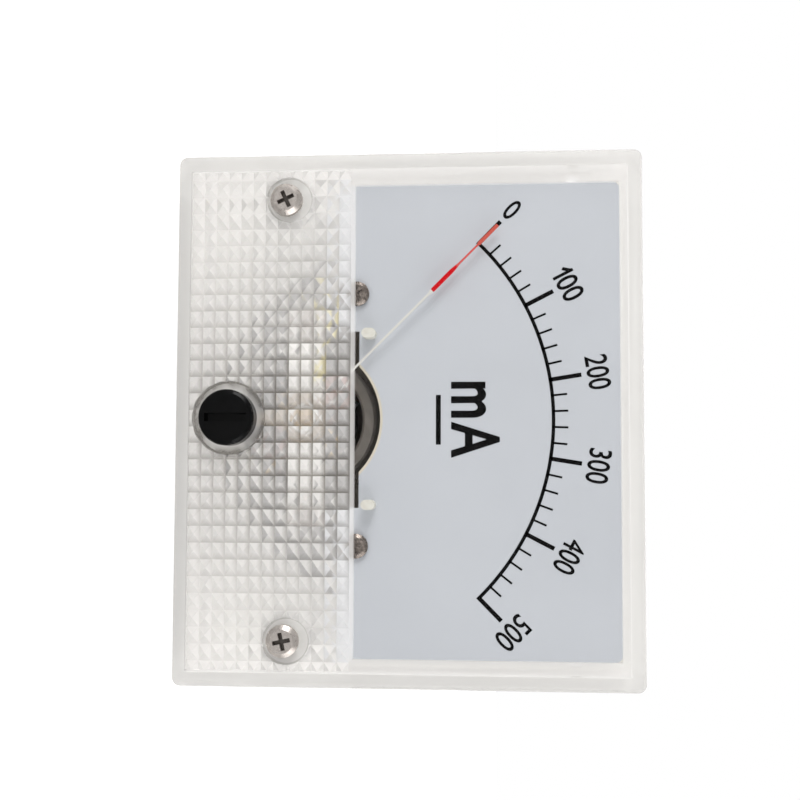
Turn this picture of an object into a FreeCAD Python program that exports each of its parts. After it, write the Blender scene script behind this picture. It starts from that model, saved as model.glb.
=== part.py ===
import FreeCAD, Part
import math
import os
import Sketcher

# Analog panel meter: a moving-coil milliammeter with a clear front, made to be set into a round hole.
# Millimetres. +X to the reader's right, +Z up, and the dial faces -Y.
# The origin is on the barrel's axis, in the plane of the flange's back face, which seats on the panel.

doc = FreeCAD.newDocument("PanelMeter")
sheet = doc.addObject("Spreadsheet::Sheet", "Sizes")

SIZES = [
    # case
    ("front_width", 64.0, "case across the front"),
    ("front_height", 56.0, "case up the front"),
    ("corner_radius", 1.0, "outer corners of case and flange"),
    ("front_depth", 14.5, "panel face to window face"),
    ("flange_thickness", 2.2, "flange that seats on the panel"),
    ("cover_wall", 1.55, "side walls of the clear cover"),
    ("window_thickness", 1.8, "front wall of the clear cover"),
    ("edge_rounding", 0.4, "front edge of the clear cover"),
    ("cover_clearance", 0.2, "cover over the locating rim"),
    ("rim_wall", 1.2, "locating rim inside the cover"),
    ("rim_height", 2.0, "locating rim above the flange"),
    ("barrel_radius", 24.0, "barrel behind the panel"),
    ("barrel_depth", 25.0, "barrel from the panel face"),
    ("barrel_wall", 2.0, "barrel side and floor"),
    ("barrel_bevel", 0.6, "rear edge of the barrel"),
    # pyramid panel
    ("panel_margin", 1.6, "pyramid panel above the case's lower edge"),
    ("texture_step", 0.25, "pyramid panel set back from the window"),
    ("step_border", 0.5, "plain strip over the pyramids"),
    ("pyramid_pitch_x", 2.0, "pyramids across"),
    ("pyramid_pitch_z", 1.51, "pyramids up"),
    ("pyramid_height", 0.45, "pyramids above their valleys"),
    ("pyramid_columns", 31, "pyramids side by side, the outer two cut in half"),
    ("pyramid_rows", 13, "pyramids one over another"),
    # cover screws and mounting studs, which share their bosses
    ("boss_inset", 5.4, "bosses in from the case's sides"),
    ("boss_rise", 13.2, "bosses above the case's lower edge"),
    ("boss_radius", 3.0, "bosses of flange and cover"),
    ("boss_joint_depth", 3.0, "front face to where the bosses meet"),
    ("screw_recess_radius", 2.8, "smooth recess of a cover screw"),
    ("screw_recess_depth", 0.9, "recess below the pyramid tops"),
    ("screw_recess_offset", 0.42, "recess above its screw"),
    ("cover_screw_radius", 1.0, "cover screw shank"),
    ("cover_screw_length", 5.0, "cover screw's hole in the flange boss"),
    ("cover_screw_tip_gap", 1.0, "cover screw's tip to the end of its hole"),
    ("cover_screw_head_radius", 1.95, "cover screw head"),
    ("cover_screw_head_height", 1.2, "cover screw head"),
    ("thread_clearance", 0.05, "screw in its hole"),
    ("head_crown_share", 0.35, "domed part of a screw head's height"),
    ("head_flat_share", 0.72, "flat top of a screw head"),
    ("recess_reach_share", 0.55, "arms of the cross recess"),
    ("recess_half_share", 0.13, "half an arm's width of the cross recess"),
    ("recess_depth_share", 0.6, "cross recess in the head's height"),
    ("shank_point_share", 0.4, "bevel at a shank's end"),
    ("stud_radius", 1.5, "mounting stud's plain shank"),
    ("stud_thread_radius", 1.34, "mounting stud's thread, at its pitch radius"),
    ("stud_run_out", 1.0, "thread's start before the washer"),
    ("stud_length", 20.0, "mounting stud behind the panel face"),
    ("stud_root_radius", 1.9, "stud root pressed in the flange"),
    ("stud_root_length", 4.5, "stud root"),
    ("stud_end_bevel", 0.45, "bevelled ends of studs and terminals"),
    ("stud_nut_offset", 15.0, "panel face to the washer as supplied"),
    ("stud_washer_radius", 3.5, "mounting washer"),
    ("stud_washer_thickness", 0.5, "mounting washer"),
    ("stud_nut_flats", 5.5, "mounting nut across flats"),
    ("stud_nut_height", 2.4, "mounting nut"),
    ("nut_corner_share", 0.08, "bevel of a nut's corners"),
    # dial
    ("dial_depth", 4.3, "front face to dial face"),
    ("dial_thickness", 0.5, "dial sheet"),
    ("dial_margin_side", 3.0, "case edge to dial edge at the sides"),
    ("dial_margin_top", 2.4, "case edge to dial edge at the top"),
    ("dial_corner_radius", 1.0, "dial corners"),
    ("dial_ear_rise", 3.5, "lower edge of the dial's ears above the pivot axis"),
    ("dial_gap_half_width", 10.8, "half the gap between the ears"),
    ("dial_gap_rise", 6.6, "upper edge of the gap above the pivot axis"),
    ("dial_arch_radius", 9.2, "arch of the dial round the movement"),
    ("dial_post_inset", 5.1, "dial screws, sideways, inside the frame plate's radius"),
    ("dial_post_rise", 6.3, "dial screws above the pivot axis"),
    ("dial_post_radius", 2.4, "posts under the dial"),
    ("dial_screw_radius", 0.8, "dial screw shank"),
    ("dial_screw_length", 4.0, "dial screw under its head"),
    ("dial_screw_head_radius", 1.5, "dial screw head"),
    ("dial_screw_head_height", 0.8, "dial screw head"),
    ("dial_rib_drop", 8.1, "ribs that steady the dial, below the case's upper edge"),
    ("dial_rib_width", 1.2, "ribs of the cover"),
    ("dial_rib_clearance", 0.1, "rib to dial"),
    ("stop_x", 10.4, "pointer stops left and right"),
    ("stop_rise", 7.9, "pointer stops above the pivot axis"),
    ("stop_radius", 0.6, "pointer stop"),
    ("stop_stretch", 0.5, "pointer stop's length less its width"),
    ("stop_height", 2.0, "pointer stop above the dial"),
    # moving-coil movement
    ("cup_margin", 0.2, "movement's cup to the barrel's wall, which places the pivot axis"),
    ("rest_angle", -45.0, "pointer at zero, from upright"),
    ("frame_gap", 0.53, "rear pivot's point to the frame plate"),
    ("frame_thickness", 2.0, "frame plate"),
    ("frame_margin", 1.5, "frame plate in from the barrel's wall"),
    ("frame_top_drop", 7.5, "flat upper edge of the frame plate below its radius"),
    ("cup_wall", 0.67, "cup that holds the steel ring"),
    ("cup_step", 0.7, "width of the steel ring's seat"),
    ("cup_front", -2.5, "front edge of the cup"),
    ("frame_screw_inset", 6.0, "frame screws, sideways, inside the plate's radius"),
    ("frame_screw_drop", 11.0, "frame screws, upwards, inside the plate's radius"),
    ("frame_boss_radius", 2.6, "bosses under the frame plate"),
    ("frame_screw_radius", 1.25, "frame screw shank"),
    ("frame_screw_length", 7.0, "frame screw under its head"),
    ("frame_screw_head_radius", 2.2, "frame screw head"),
    ("frame_screw_head_height", 1.5, "frame screw head"),
    ("ring_wall", 1.7, "steel ring round the coil"),
    ("air_gap", 1.7, "core to steel ring, where the coil turns"),
    ("ring_length", 10.0, "ring and core along the axis"),
    ("seat_clearance", 0.03, "parts that are cemented or pushed in"),
    ("core_radius", 5.0, "magnet core inside the coil"),
    ("core_chamfer", 0.3, "front edges of ring and core"),
    ("spacer_half_height", 1.2, "spacers between core and ring"),
    ("coil_gap", 0.3, "coil former to core"),
    ("coil_end_gap", 0.4, "coil former to core at both ends"),
    ("former_thickness", 0.3, "coil former strip"),
    ("former_width", 3.2, "coil former strip"),
    ("winding_width", 2.6, "coil winding"),
    ("winding_thickness", 0.65, "coil winding"),
    ("winding_clearance", 0.02, "winding on its former"),
    ("pivot_base_radius", 1.2, "pivot base on the coil"),
    ("pivot_base_height", 0.4, "pivot base on the coil"),
    ("spindle_radius", 0.5, "pivot spindle"),
    ("spindle_length", 1.3, "pivot spindle from its base"),
    ("pivot_cone_length", 0.6, "pointed end of a spindle"),
    ("jewel_screw_radius", 1.2, "jewel screw"),
    ("jewel_hole_radius", 0.3, "jewel in the end of its screw"),
    ("jewel_hole_depth", 0.4, "jewel in the end of its screw"),
    ("jewel_entry", 0.15, "pivot point inside its jewel"),
    ("jewel_slot_width", 0.4, "driver slot of the jewel screws"),
    ("jewel_slot_depth", 0.5, "driver slot of the jewel screws"),
    # front bridge
    ("bridge_gap", 0.13, "front pivot's point to the bridge"),
    ("bridge_thickness", 1.0, "bridge strip"),
    ("bridge_half_height", 2.2, "half the bridge strip's height"),
    ("bridge_rise", 2.2, "bridge's middle over its feet"),
    ("bridge_middle_half", 6.4, "half the bridge's raised middle"),
    ("bridge_slope", 2.4, "run of the bridge's slopes"),
    ("bridge_bend_inset", 0.4, "bends inside the bridge, off those outside"),
    ("bridge_boss_radius", 1.9, "collar that carries the zero lever"),
    ("bridge_boss_height", 0.65, "collar that carries the zero lever"),
    ("pillar_gap", 0.9, "cup to bridge pillars"),
    ("pillar_radius", 1.8, "bridge pillars"),
    ("bridge_screw_radius", 0.8, "bridge screw shank"),
    ("bridge_screw_length", 4.0, "bridge screw under its head"),
    ("bridge_screw_head_radius", 1.5, "bridge screw head"),
    ("bridge_screw_head_height", 0.8, "bridge screw head"),
    # pointer and balance
    ("cross_thickness", 0.3, "balance cross"),
    ("cross_hub_radius", 1.3, "hub of the balance cross"),
    ("cross_arm_width", 0.6, "arms of the balance cross"),
    ("cross_arm_length", 5.4, "side arms of the balance cross"),
    ("tail_arm_length", 8.1, "tail arm of the balance cross"),
    ("weight_radius", 0.75, "balance weights"),
    ("weight_length", 1.4, "side balance weights"),
    ("tail_weight_length", 0.9, "tail balance weight"),
    ("side_weight_at", 3.4, "side weights from the axis"),
    ("tail_weight_at", 7.2, "tail weight from the axis"),
    ("pointer_lift", 1.3, "front face of the pointer over the dial"),
    ("pointer_thickness", 0.2, "pointer blade"),
    ("pointer_root", 0.9, "pointer's end from the axis"),
    ("crank_start", 3.9, "pointer rises from here"),
    ("crank_end", 7.6, "pointer is level from here"),
    ("needle_width", 0.26, "plain stretch of the pointer"),
    ("lance_start", 21.8, "painted lance from the axis"),
    ("lance_width", 0.5, "painted lance"),
    ("lance_end", 25.4, "lance begins to taper"),
    ("neck_start", 26.8, "thin stretch beyond the lance"),
    ("neck_width", 0.22, "thin stretch beyond the lance"),
    ("tip_start", 29.9, "tip that lies over the scale"),
    ("tip_width", 0.42, "tip that lies over the scale"),
    ("pointer_reach", 33.3, "pointer's tip from the axis"),
    # springs
    ("spring_inner_radius", 0.75, "hairspring's inner turn"),
    ("spring_pitch", 0.55, "hairspring from turn to turn"),
    ("spring_turns", 4.0, "hairspring's turns"),
    ("spring_strip", 0.1, "hairspring strip's thickness"),
    ("spring_height", 0.35, "hairspring strip's height"),
    ("front_spring_gap", 0.2, "front hairspring to the pointer's root"),
    ("rear_spring_gap", 0.18, "rear hairspring to the pivot's base"),
    ("spring_tab_thickness", 0.4, "tabs that hold the hairsprings"),
    ("spring_tab_width", 1.2, "tabs that hold the hairsprings"),
    # zero adjuster
    ("knob_rise", 6.4, "zero adjuster above the case's lower edge"),
    ("knob_radius", 3.38, "head of the zero adjuster"),
    ("knob_height", 2.4, "head of the zero adjuster"),
    ("knob_rounding", 0.45, "edge of the adjuster's head"),
    ("knob_facet", 0.14, "first facet of the adjuster's edge"),
    ("knob_gap", 0.1, "adjuster's head to the cover"),
    ("knob_recess_radius", 4.4, "recess round the adjuster"),
    ("knob_recess_depth", 0.9, "recess below the pyramid tops"),
    ("knob_slot_length", 5.1, "driver slot of the adjuster"),
    ("knob_slot_width", 1.0, "driver slot of the adjuster"),
    ("knob_slot_depth", 1.1, "driver slot of the adjuster"),
    ("knob_shaft_radius", 1.5, "adjuster's shaft"),
    ("knob_shaft_clearance", 0.07, "adjuster's shaft in the cover"),
    ("eccentric_offset", 1.0, "crank pin off the adjuster's axis"),
    ("eccentric_radius", 0.45, "crank pin"),
    ("eccentric_length", 1.0, "crank pin beyond the shaft"),
    ("shaft_projection", 0.4, "shaft inside the cover"),
    ("retainer_radius", 2.4, "ring that keeps the adjuster in"),
    ("retainer_thickness", 0.3, "ring that keeps the adjuster in"),
    ("lever_window_gap", 0.5, "zero lever to the cover"),
    ("lever_gap", 0.2, "zero lever to the bridge"),
    ("lever_thickness", 0.4, "zero lever"),
    ("lever_ring_radius", 2.9, "ring of the zero lever"),
    ("lever_clearance", 0.06, "zero lever on its collar"),
    ("lever_arm_width", 1.6, "arm of the zero lever"),
    ("fork_width", 2.7, "fork of the zero lever"),
    ("fork_before", 1.4, "fork's root to the crank pin"),
    ("fork_beyond", 1.1, "fork's tips past the crank pin"),
    ("fork_clearance", 0.1, "crank pin in the fork"),
    # terminals
    ("terminal_x", 13.0, "terminals left and right"),
    ("terminal_radius", 2.0, "terminal stud"),
    ("terminal_length", 17.0, "terminal stud behind the barrel"),
    ("terminal_head_flats", 7.0, "terminal stud's hexagon head"),
    ("terminal_head_height", 1.5, "terminal stud's hexagon head"),
    ("terminal_hole_clearance", 0.1, "terminal stud in the barrel floor"),
    ("terminal_washer_radius", 4.5, "terminal washer"),
    ("terminal_washer_thickness", 0.8, "terminal washer"),
    ("terminal_nut_flats", 7.0, "terminal nut across flats"),
    ("terminal_nut_height", 3.2, "terminal nut"),
    ("lug_radius", 4.0, "eye of the solder lug"),
    ("lug_thickness", 0.5, "solder lug"),
    ("lug_width", 3.0, "tongue of the solder lug"),
    ("lug_reach", 12.0, "tongue's end from the stud"),
    ("lug_hole_radius", 0.9, "wire hole of the solder lug"),
    ("shunt_thickness", 0.5, "shunt strip"),
    ("shunt_half_height", 3.5, "half the shunt strip's height"),
    ("shunt_overlap", 4.5, "shunt strip beyond each stud"),
    ("shunt_waist", 2.0, "half the shunt's waist"),
    ("lead_radius", 0.35, "inner leads"),
]

for row, (alias, number, use) in enumerate(SIZES, start=1):
    sheet.set(f"A{row}", alias)
    sheet.set(f"B{row}", str(number))
    sheet.set(f"C{row}", use)
    sheet.setAlias(f"B{row}", alias)
doc.recompute()


class Dim:
    """A size with its number and the sheet formula that drives it."""

    def __init__(self, number, formula):
        self.number = float(number)
        self.formula = formula

    def __add__(self, other):
        other = dim(other)
        return Dim(self.number + other.number, f"({self.formula} + {other.formula})")

    def __sub__(self, other):
        other = dim(other)
        return Dim(self.number - other.number, f"({self.formula} - {other.formula})")

    def __mul__(self, other):
        other = dim(other)
        return Dim(self.number * other.number, f"({self.formula} * {other.formula})")

    def __truediv__(self, other):
        other = dim(other)
        return Dim(self.number / other.number, f"({self.formula} / {other.formula})")

    def __radd__(self, other):
        return dim(other) + self

    def __rsub__(self, other):
        return dim(other) - self

    def __rmul__(self, other):
        return dim(other) * self

    def __neg__(self):
        return Dim(-self.number, f"(0 - {self.formula})")


def dim(value):
    """Any number as a Dim."""
    if isinstance(value, Dim):
        return value
    return Dim(value, repr(float(value)))


class Sheet:
    """Gives each named size of the sheet as a Dim."""

    def __getattr__(self, alias):
        return Dim(sheet.get(alias), f"Sizes.{alias}")


s = Sheet()

# Radii that follow from one another
barrel_inner = s.barrel_radius - s.barrel_wall
frame_radius = barrel_inner - s.frame_margin
ring_inner_radius = s.core_radius + s.air_gap
ring_outer_radius = ring_inner_radius + s.ring_wall
cup_outer_radius = ring_outer_radius + s.seat_clearance + s.cup_wall
pillar_x = cup_outer_radius + s.pillar_gap + s.pillar_radius
spring_tab_inner = s.spring_inner_radius + s.spring_pitch * s.spring_turns + s.spring_strip

# Places across and up the front, worked out from the sizes
half_width = s.front_width / 2
half_height = s.front_height / 2
boss_x = half_width - s.boss_inset
boss_z = s.boss_rise - half_height
panel_bottom = s.panel_margin - half_height
panel_top = panel_bottom + s.pyramid_pitch_z * s.pyramid_rows
dial_rib_z = half_height - s.dial_rib_drop
pivot_z = cup_outer_radius + s.cup_margin - barrel_inner
dial_ear_bottom = pivot_z + s.dial_ear_rise
dial_gap_top = pivot_z + s.dial_gap_rise
dial_post_x = frame_radius - s.dial_post_inset
dial_post_z = pivot_z + s.dial_post_rise
stop_z = pivot_z + s.stop_rise
frame_top = frame_radius - s.frame_top_drop
frame_screw_x = frame_radius - s.frame_screw_inset
frame_screw_z = frame_radius - s.frame_screw_drop
knob_z = s.knob_rise - half_height
pin_reach = pivot_z - knob_z - s.eccentric_offset
fork_start = pin_reach - s.fork_before
fork_end = pin_reach + s.fork_beyond

# Levels along Y: the case
window_face = -s.front_depth
window_inner = window_face + s.window_thickness
texture_face = window_face + s.texture_step
flange_front = -s.flange_thickness
cover_depth = s.front_depth - s.flange_thickness
dial_front = window_face + s.dial_depth
dial_back = dial_front + s.dial_thickness
boss_joint = window_face + s.boss_joint_depth
barrel_floor = s.barrel_depth - s.barrel_wall
knob_seat = texture_face + s.knob_recess_depth
shaft_end = window_inner + s.shaft_projection

# Levels along Y: the movement, from the window backwards
lever_back = window_inner + s.lever_window_gap + s.lever_thickness
bridge_front = lever_back + s.lever_gap
bridge_foot_front = bridge_front + s.bridge_rise
bridge_underside = bridge_foot_front + s.bridge_thickness
front_point = bridge_front + s.bridge_thickness + s.bridge_gap
winding_front = front_point + s.spindle_length + s.pivot_base_height
former_front = winding_front + s.winding_thickness + s.winding_clearance + s.former_thickness
ring_front = former_front + s.coil_end_gap
ring_back = ring_front + s.ring_length
former_back = ring_back + s.coil_end_gap
winding_back = former_back + s.former_thickness + s.winding_clearance + s.winding_thickness
rear_point = winding_back + s.pivot_base_height + s.spindle_length
frame_front = rear_point + s.frame_gap
frame_back = frame_front + s.frame_thickness
cross_back = winding_front - s.pivot_base_height - s.seat_clearance
cross_front = cross_back - s.cross_thickness
pointer_root_front = cross_front - s.pointer_thickness
pointer_front = dial_front - s.pointer_lift
front_spring_front = pointer_root_front - s.front_spring_gap - s.spring_height
rear_spring_front = winding_back + s.pivot_base_height + s.rear_spring_gap

WHOLE_TURN = 360.0
UPRIGHT = FreeCAD.Vector(0, 1, 0)
SPARE = 1.0  # how far a cutting tool runs past the face that it starts from


def body(label, x=0, y=0, z=0, turn=None):
    """Starts a piece whose own axes sit at a driven place, turned about Y if asked."""
    piece = doc.addObject("PartDesign::Body", label)
    piece.Label = label
    if turn is not None:
        piece.Placement.Rotation = FreeCAD.Rotation(UPRIGHT, turn.number)
        piece.setExpression("Placement.Rotation.Angle", turn.formula)
    place(piece, x, y, z)
    return piece


def place(piece, x=0, y=0, z=0):
    """Holds an object's place to its formulas."""
    for axis, value in zip("xyz", (x, y, z)):
        piece.setExpression(f"Placement.Base.{axis}", dim(value).formula)


def sketch_on(piece, role, offset=0):
    """A sketch on one of the piece's own planes, moved along that plane's normal."""
    drawing = piece.newObject("Sketcher::SketchObject", f"{piece.Name}_sketch")
    plane = [o for o in piece.Origin.OriginFeatures if o.Role == role][0]
    drawing.AttachmentSupport = (plane, [""])
    drawing.MapMode = "FlatFace"
    drawing.setExpression("AttachmentOffset.Base.z", dim(offset).formula)
    return drawing


def hold(drawing, edge, end, across, up):
    """Ties one end of an edge to the sketch's origin by two driven distances."""
    for kind, value in (("DistanceX", across), ("DistanceY", up)):
        value = dim(value)
        rule = Sketcher.Constraint(kind, -1, 1, edge, end, value.number)
        index = drawing.addConstraint(rule)
        drawing.setExpression(f"Constraints[{index}]", value.formula)


def outline(drawing, corners):
    """A closed run of straight edges through driven corners."""
    spots = [FreeCAD.Vector(dim(u).number, dim(v).number, 0) for u, v in corners]
    count = len(spots)
    edges = []
    for start in range(count):
        line = Part.LineSegment(spots[start], spots[(start + 1) % count])
        edges.append(drawing.addGeometry(line, False))
    for start in range(count):
        joined = Sketcher.Constraint("Coincident", edges[start], 2, edges[(start + 1) % count], 1)
        drawing.addConstraint(joined)
    for edge, (u, v) in zip(edges, corners):
        hold(drawing, edge, 1, u, v)
    return drawing


def rectangle(drawing, left, right, low, high):
    """A rectangle between driven limits."""
    return outline(drawing, [(left, low), (right, low), (right, high), (left, high)])


def circle(drawing, across, up, radius):
    """A circle with a driven centre and radius."""
    radius = dim(radius)
    centre = FreeCAD.Vector(dim(across).number, dim(up).number, 0)
    edge = drawing.addGeometry(Part.Circle(centre, FreeCAD.Vector(0, 0, 1), radius.number), False)
    hold(drawing, edge, 3, across, up)
    index = drawing.addConstraint(Sketcher.Constraint("Radius", edge, radius.number))
    drawing.setExpression(f"Constraints[{index}]", radius.formula)
    return drawing


def hexagon(drawing, flats):
    """A regular hexagon about the origin, by its width across flats."""
    corner_radius = flats / math.sqrt(3.0)
    corners = []
    for corner in range(6):
        angle = math.radians(60.0 * corner)
        corners.append((corner_radius * math.cos(angle), corner_radius * math.sin(angle)))
    return outline(drawing, corners)


def pad(piece, drawing, length, reverse=False, middle=False):
    """Extrudes a sketch. On the XZ plane the plain direction is -Y, and reversed it is +Y."""
    feature = piece.newObject("PartDesign::Pad", f"{piece.Name}_pad")
    feature.Profile = drawing
    feature.Reversed = reverse
    if middle:
        feature.SideType = "Symmetric"
    feature.setExpression("Length", dim(length).formula)
    return feature


def pocket(piece, drawing, length, reverse=False, middle=False):
    """Cuts a sketch into the piece. On the XZ plane the plain direction is +Y."""
    feature = piece.newObject("PartDesign::Pocket", f"{piece.Name}_pocket")
    feature.Profile = drawing
    feature.Reversed = reverse
    if middle:
        feature.SideType = "Symmetric"
    feature.setExpression("Length", dim(length).formula)
    return feature


def turned(piece, profile, cut=False):
    """Revolves a profile of (radius, height along Y) about the piece's own Y axis."""
    drawing = outline(sketch_on(piece, "XY_Plane"), profile)
    kind = "PartDesign::Groove" if cut else "PartDesign::Revolution"
    feature = piece.newObject(kind, f"{piece.Name}_turned")
    feature.Profile = drawing
    feature.ReferenceAxis = (drawing, ["V_Axis"])
    feature.Angle = WHOLE_TURN
    return feature


def edges_where(feature, wanted):
    """Names of the feature's edges that a test on their two end points picks."""
    doc.recompute()
    names = []
    for index, edge in enumerate(feature.Shape.Edges, start=1):
        ends = [vertex.Point for vertex in edge.Vertexes]
        if len(ends) == 2 and wanted(ends[0], ends[1]):
            names.append(f"Edge{index}")
    return names


def along_y(a, b):
    """True where an edge runs along Y."""
    return abs(a.x - b.x) < 1e-6 and abs(a.z - b.z) < 1e-6


def round_edges(piece, feature, names, radius):
    """Rounds named edges of the piece's last feature."""
    fillet = piece.newObject("PartDesign::Fillet", f"{piece.Name}_fillet")
    fillet.Base = (feature, names)
    fillet.setExpression("Radius", dim(radius).formula)
    return fillet


def cylinder(name, radius, length, x, y, z):
    """A plain cylinder along +Y from a driven point, used as a tool."""
    tool = doc.addObject("Part::Cylinder", name)
    tool.Placement.Rotation = FreeCAD.Rotation(FreeCAD.Vector(1, 0, 0), -90)
    tool.setExpression("Radius", dim(radius).formula)
    tool.setExpression("Height", dim(length).formula)
    place(tool, x, y, z)
    return tool


pieces = []


def keep(piece):
    """Puts a finished piece on the list that is written out."""
    pieces.append(piece)
    return piece


# Base housing: flange, locating rim, front bosses and the barrel with its inner bosses

rim_half_width = half_width - s.cover_wall - s.cover_clearance
rim_half_height = half_height - s.cover_wall - s.cover_clearance

base = body("base_housing")
flange = pad(base, rectangle(sketch_on(base, "XZ_Plane"), -half_width, half_width,
                             -half_height, half_height),
             s.flange_thickness)
flange = round_edges(base, flange, edges_where(flange, along_y), s.corner_radius)
rim = sketch_on(base, "XZ_Plane", s.flange_thickness)
rectangle(rim, -rim_half_width, rim_half_width, -rim_half_height, rim_half_height)
rectangle(rim, s.rim_wall - rim_half_width, rim_half_width - s.rim_wall,
          s.rim_wall - rim_half_height, rim_half_height - s.rim_wall)
pad(base, rim, s.rim_height)
pad(base, circle(sketch_on(base, "XZ_Plane"), 0, 0, s.barrel_radius), s.barrel_depth, reverse=True)
pocket(base, circle(sketch_on(base, "XZ_Plane", s.flange_thickness), 0, 0, barrel_inner),
       barrel_floor + s.flange_thickness)
front_bosses = sketch_on(base, "XZ_Plane", s.flange_thickness)
for side in (-1, 1):
    circle(front_bosses, side * boss_x, boss_z, s.boss_radius)
pad(base, front_bosses, -boss_joint - s.flange_thickness)
inner_bosses = sketch_on(base, "XZ_Plane", -barrel_floor)
for side in (-1, 1):
    circle(inner_bosses, side * frame_screw_x, frame_screw_z, s.frame_boss_radius)
pad(base, inner_bosses, barrel_floor - frame_back)
frame_screw_holes = sketch_on(base, "XZ_Plane", -frame_back)
for side in (-1, 1):
    circle(frame_screw_holes, side * frame_screw_x, frame_screw_z,
           s.frame_screw_radius + s.thread_clearance)
pocket(base, frame_screw_holes, s.frame_screw_length)
cover_screw_holes = sketch_on(base, "XZ_Plane", -boss_joint)
stud_holes = sketch_on(base, "XZ_Plane")
for side in (-1, 1):
    circle(cover_screw_holes, side * boss_x, boss_z, s.cover_screw_radius + s.thread_clearance)
    circle(stud_holes, side * boss_x, boss_z, s.stud_root_radius + s.seat_clearance)
pocket(base, cover_screw_holes, s.cover_screw_length)
pocket(base, stud_holes, s.stud_root_length, reverse=True)
terminal_holes = sketch_on(base, "XZ_Plane", -s.barrel_depth)
for side in (-1, 1):
    circle(terminal_holes, side * s.terminal_x, 0, s.terminal_radius + s.terminal_hole_clearance)
pocket(base, terminal_holes, s.barrel_wall, reverse=True)
turned(base, [(s.barrel_radius - s.barrel_bevel, s.barrel_depth),
              (s.barrel_radius + s.barrel_bevel, s.barrel_depth),
              (s.barrel_radius + s.barrel_bevel, s.barrel_depth - 2 * s.barrel_bevel)], cut=True)
keep(base)

# Front cover: one clear moulding with a raised window above and the pyramid panel below

cover_shell = body("cover_shell", y=flange_front)
block = pad(cover_shell, rectangle(sketch_on(cover_shell, "XZ_Plane"), -half_width, half_width,
                                   -half_height, half_height), cover_depth)
block = round_edges(cover_shell, block, edges_where(block, along_y), s.corner_radius)


def on_front_edge(a, b):
    """True for the edges round the block's front face."""
    front = -cover_depth.number
    return abs(a.y - front) < 1e-6 and abs(b.y - front) < 1e-6


round_edges(cover_shell, block, edges_where(block, on_front_edge), s.edge_rounding)
pocket(cover_shell, rectangle(sketch_on(cover_shell, "XZ_Plane"), s.cover_wall - half_width,
                              half_width - s.cover_wall, s.cover_wall - half_height,
                              half_height - s.cover_wall),
       cover_depth - s.window_thickness, reverse=True)
texture_half_width = s.pyramid_pitch_x * (s.pyramid_columns - 1) / 2
step = sketch_on(cover_shell, "XZ_Plane", cover_depth)
rectangle(step, -half_width - SPARE, half_width + SPARE, -half_height - SPARE, panel_top + s.step_border)
pocket(cover_shell, step, s.texture_step)
panel_bed = sketch_on(cover_shell, "XZ_Plane", cover_depth - s.texture_step)
rectangle(panel_bed, -texture_half_width, texture_half_width, panel_bottom, panel_top)
pocket(cover_shell, panel_bed, s.pyramid_height)
cover_bosses = sketch_on(cover_shell, "XZ_Plane", cover_depth - s.window_thickness)
for side in (-1, 1):
    circle(cover_bosses, side * boss_x, boss_z, s.boss_radius)
pad(cover_shell, cover_bosses, boss_joint - window_inner, reverse=True)
dial_half_width = half_width - s.dial_margin_side
ribs = sketch_on(cover_shell, "XZ_Plane", cover_depth - s.window_thickness)
wall_inside = half_width - s.cover_wall
for side in (-1, 1):
    near = side * (dial_half_width + s.dial_rib_clearance)
    far = side * wall_inside
    rectangle(ribs, near, far, dial_rib_z - s.dial_rib_width / 2, dial_rib_z + s.dial_rib_width / 2)
pad(cover_shell, ribs, dial_back - window_inner, reverse=True)


def ridges(name, count, pitch, length, upright):
    """A slab whose face is a row of sharp ridges: two of them, crossed, leave the pyramids."""
    bed = (window_inner - texture_face - s.pyramid_height).number
    half_run = count.number * pitch.number / 2
    half_length = length.number / 2

    def spot(run, depth):
        if upright:
            return FreeCAD.Vector(run, depth, -half_length)
        return FreeCAD.Vector(-half_length, depth, run)

    profile = [spot(-half_run, bed), spot(-half_run, 0)]
    for ridge in range(int(count.number)):
        profile.append(spot((ridge + 0.5) * pitch.number - half_run, -s.pyramid_height.number))
        profile.append(spot((ridge + 1.0) * pitch.number - half_run, 0))
    profile.append(spot(half_run, bed))
    face = Part.Face(Part.makePolygon(profile + profile[:1]))
    along = FreeCAD.Vector(0, 0, length.number) if upright else FreeCAD.Vector(length.number, 0, 0)
    feature = doc.addObject("Part::Feature", name)
    feature.Shape = face.extrude(along)
    valley = texture_face + s.pyramid_height
    place(feature, 0, valley, (panel_top + panel_bottom) / 2)
    return feature


panel_width = s.pyramid_pitch_x * s.pyramid_columns
panel_height = s.pyramid_pitch_z * s.pyramid_rows
upright_ridges = ridges("upright_ridges", s.pyramid_columns, s.pyramid_pitch_x, panel_height, True)
level_ridges = ridges("level_ridges", s.pyramid_rows, s.pyramid_pitch_z, panel_width, False)
pyramids = doc.addObject("Part::Common", "pyramids")
pyramids.Base = upright_ridges
pyramids.Tool = level_ridges
moulding = doc.addObject("Part::Fuse", "moulding")
moulding.Base = cover_shell
moulding.Tool = pyramids
cuts = []
for side, name in ((-1, "left"), (1, "right")):
    cuts.append(cylinder(f"screw_recess_{name}", s.screw_recess_radius, SPARE + s.screw_recess_depth,
                         side * boss_x, texture_face - SPARE, boss_z + s.screw_recess_offset))
    cuts.append(cylinder(f"screw_hole_{name}", s.cover_screw_radius + s.thread_clearance,
                         SPARE + boss_joint - texture_face + SPARE, side * boss_x,
                         texture_face - SPARE, boss_z))
cuts.append(cylinder("knob_recess", s.knob_recess_radius, SPARE + s.knob_recess_depth,
                     0, texture_face - SPARE, knob_z))
cuts.append(cylinder("knob_hole", s.knob_shaft_radius + s.knob_shaft_clearance,
                     SPARE + s.window_thickness + SPARE, 0, texture_face - SPARE, knob_z))
cover_tools = doc.addObject("Part::MultiFuse", "cover_tools")
cover_tools.Shapes = cuts
cover = doc.addObject("Part::Cut", "front_cover")
cover.Base = moulding
cover.Tool = cover_tools
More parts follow.
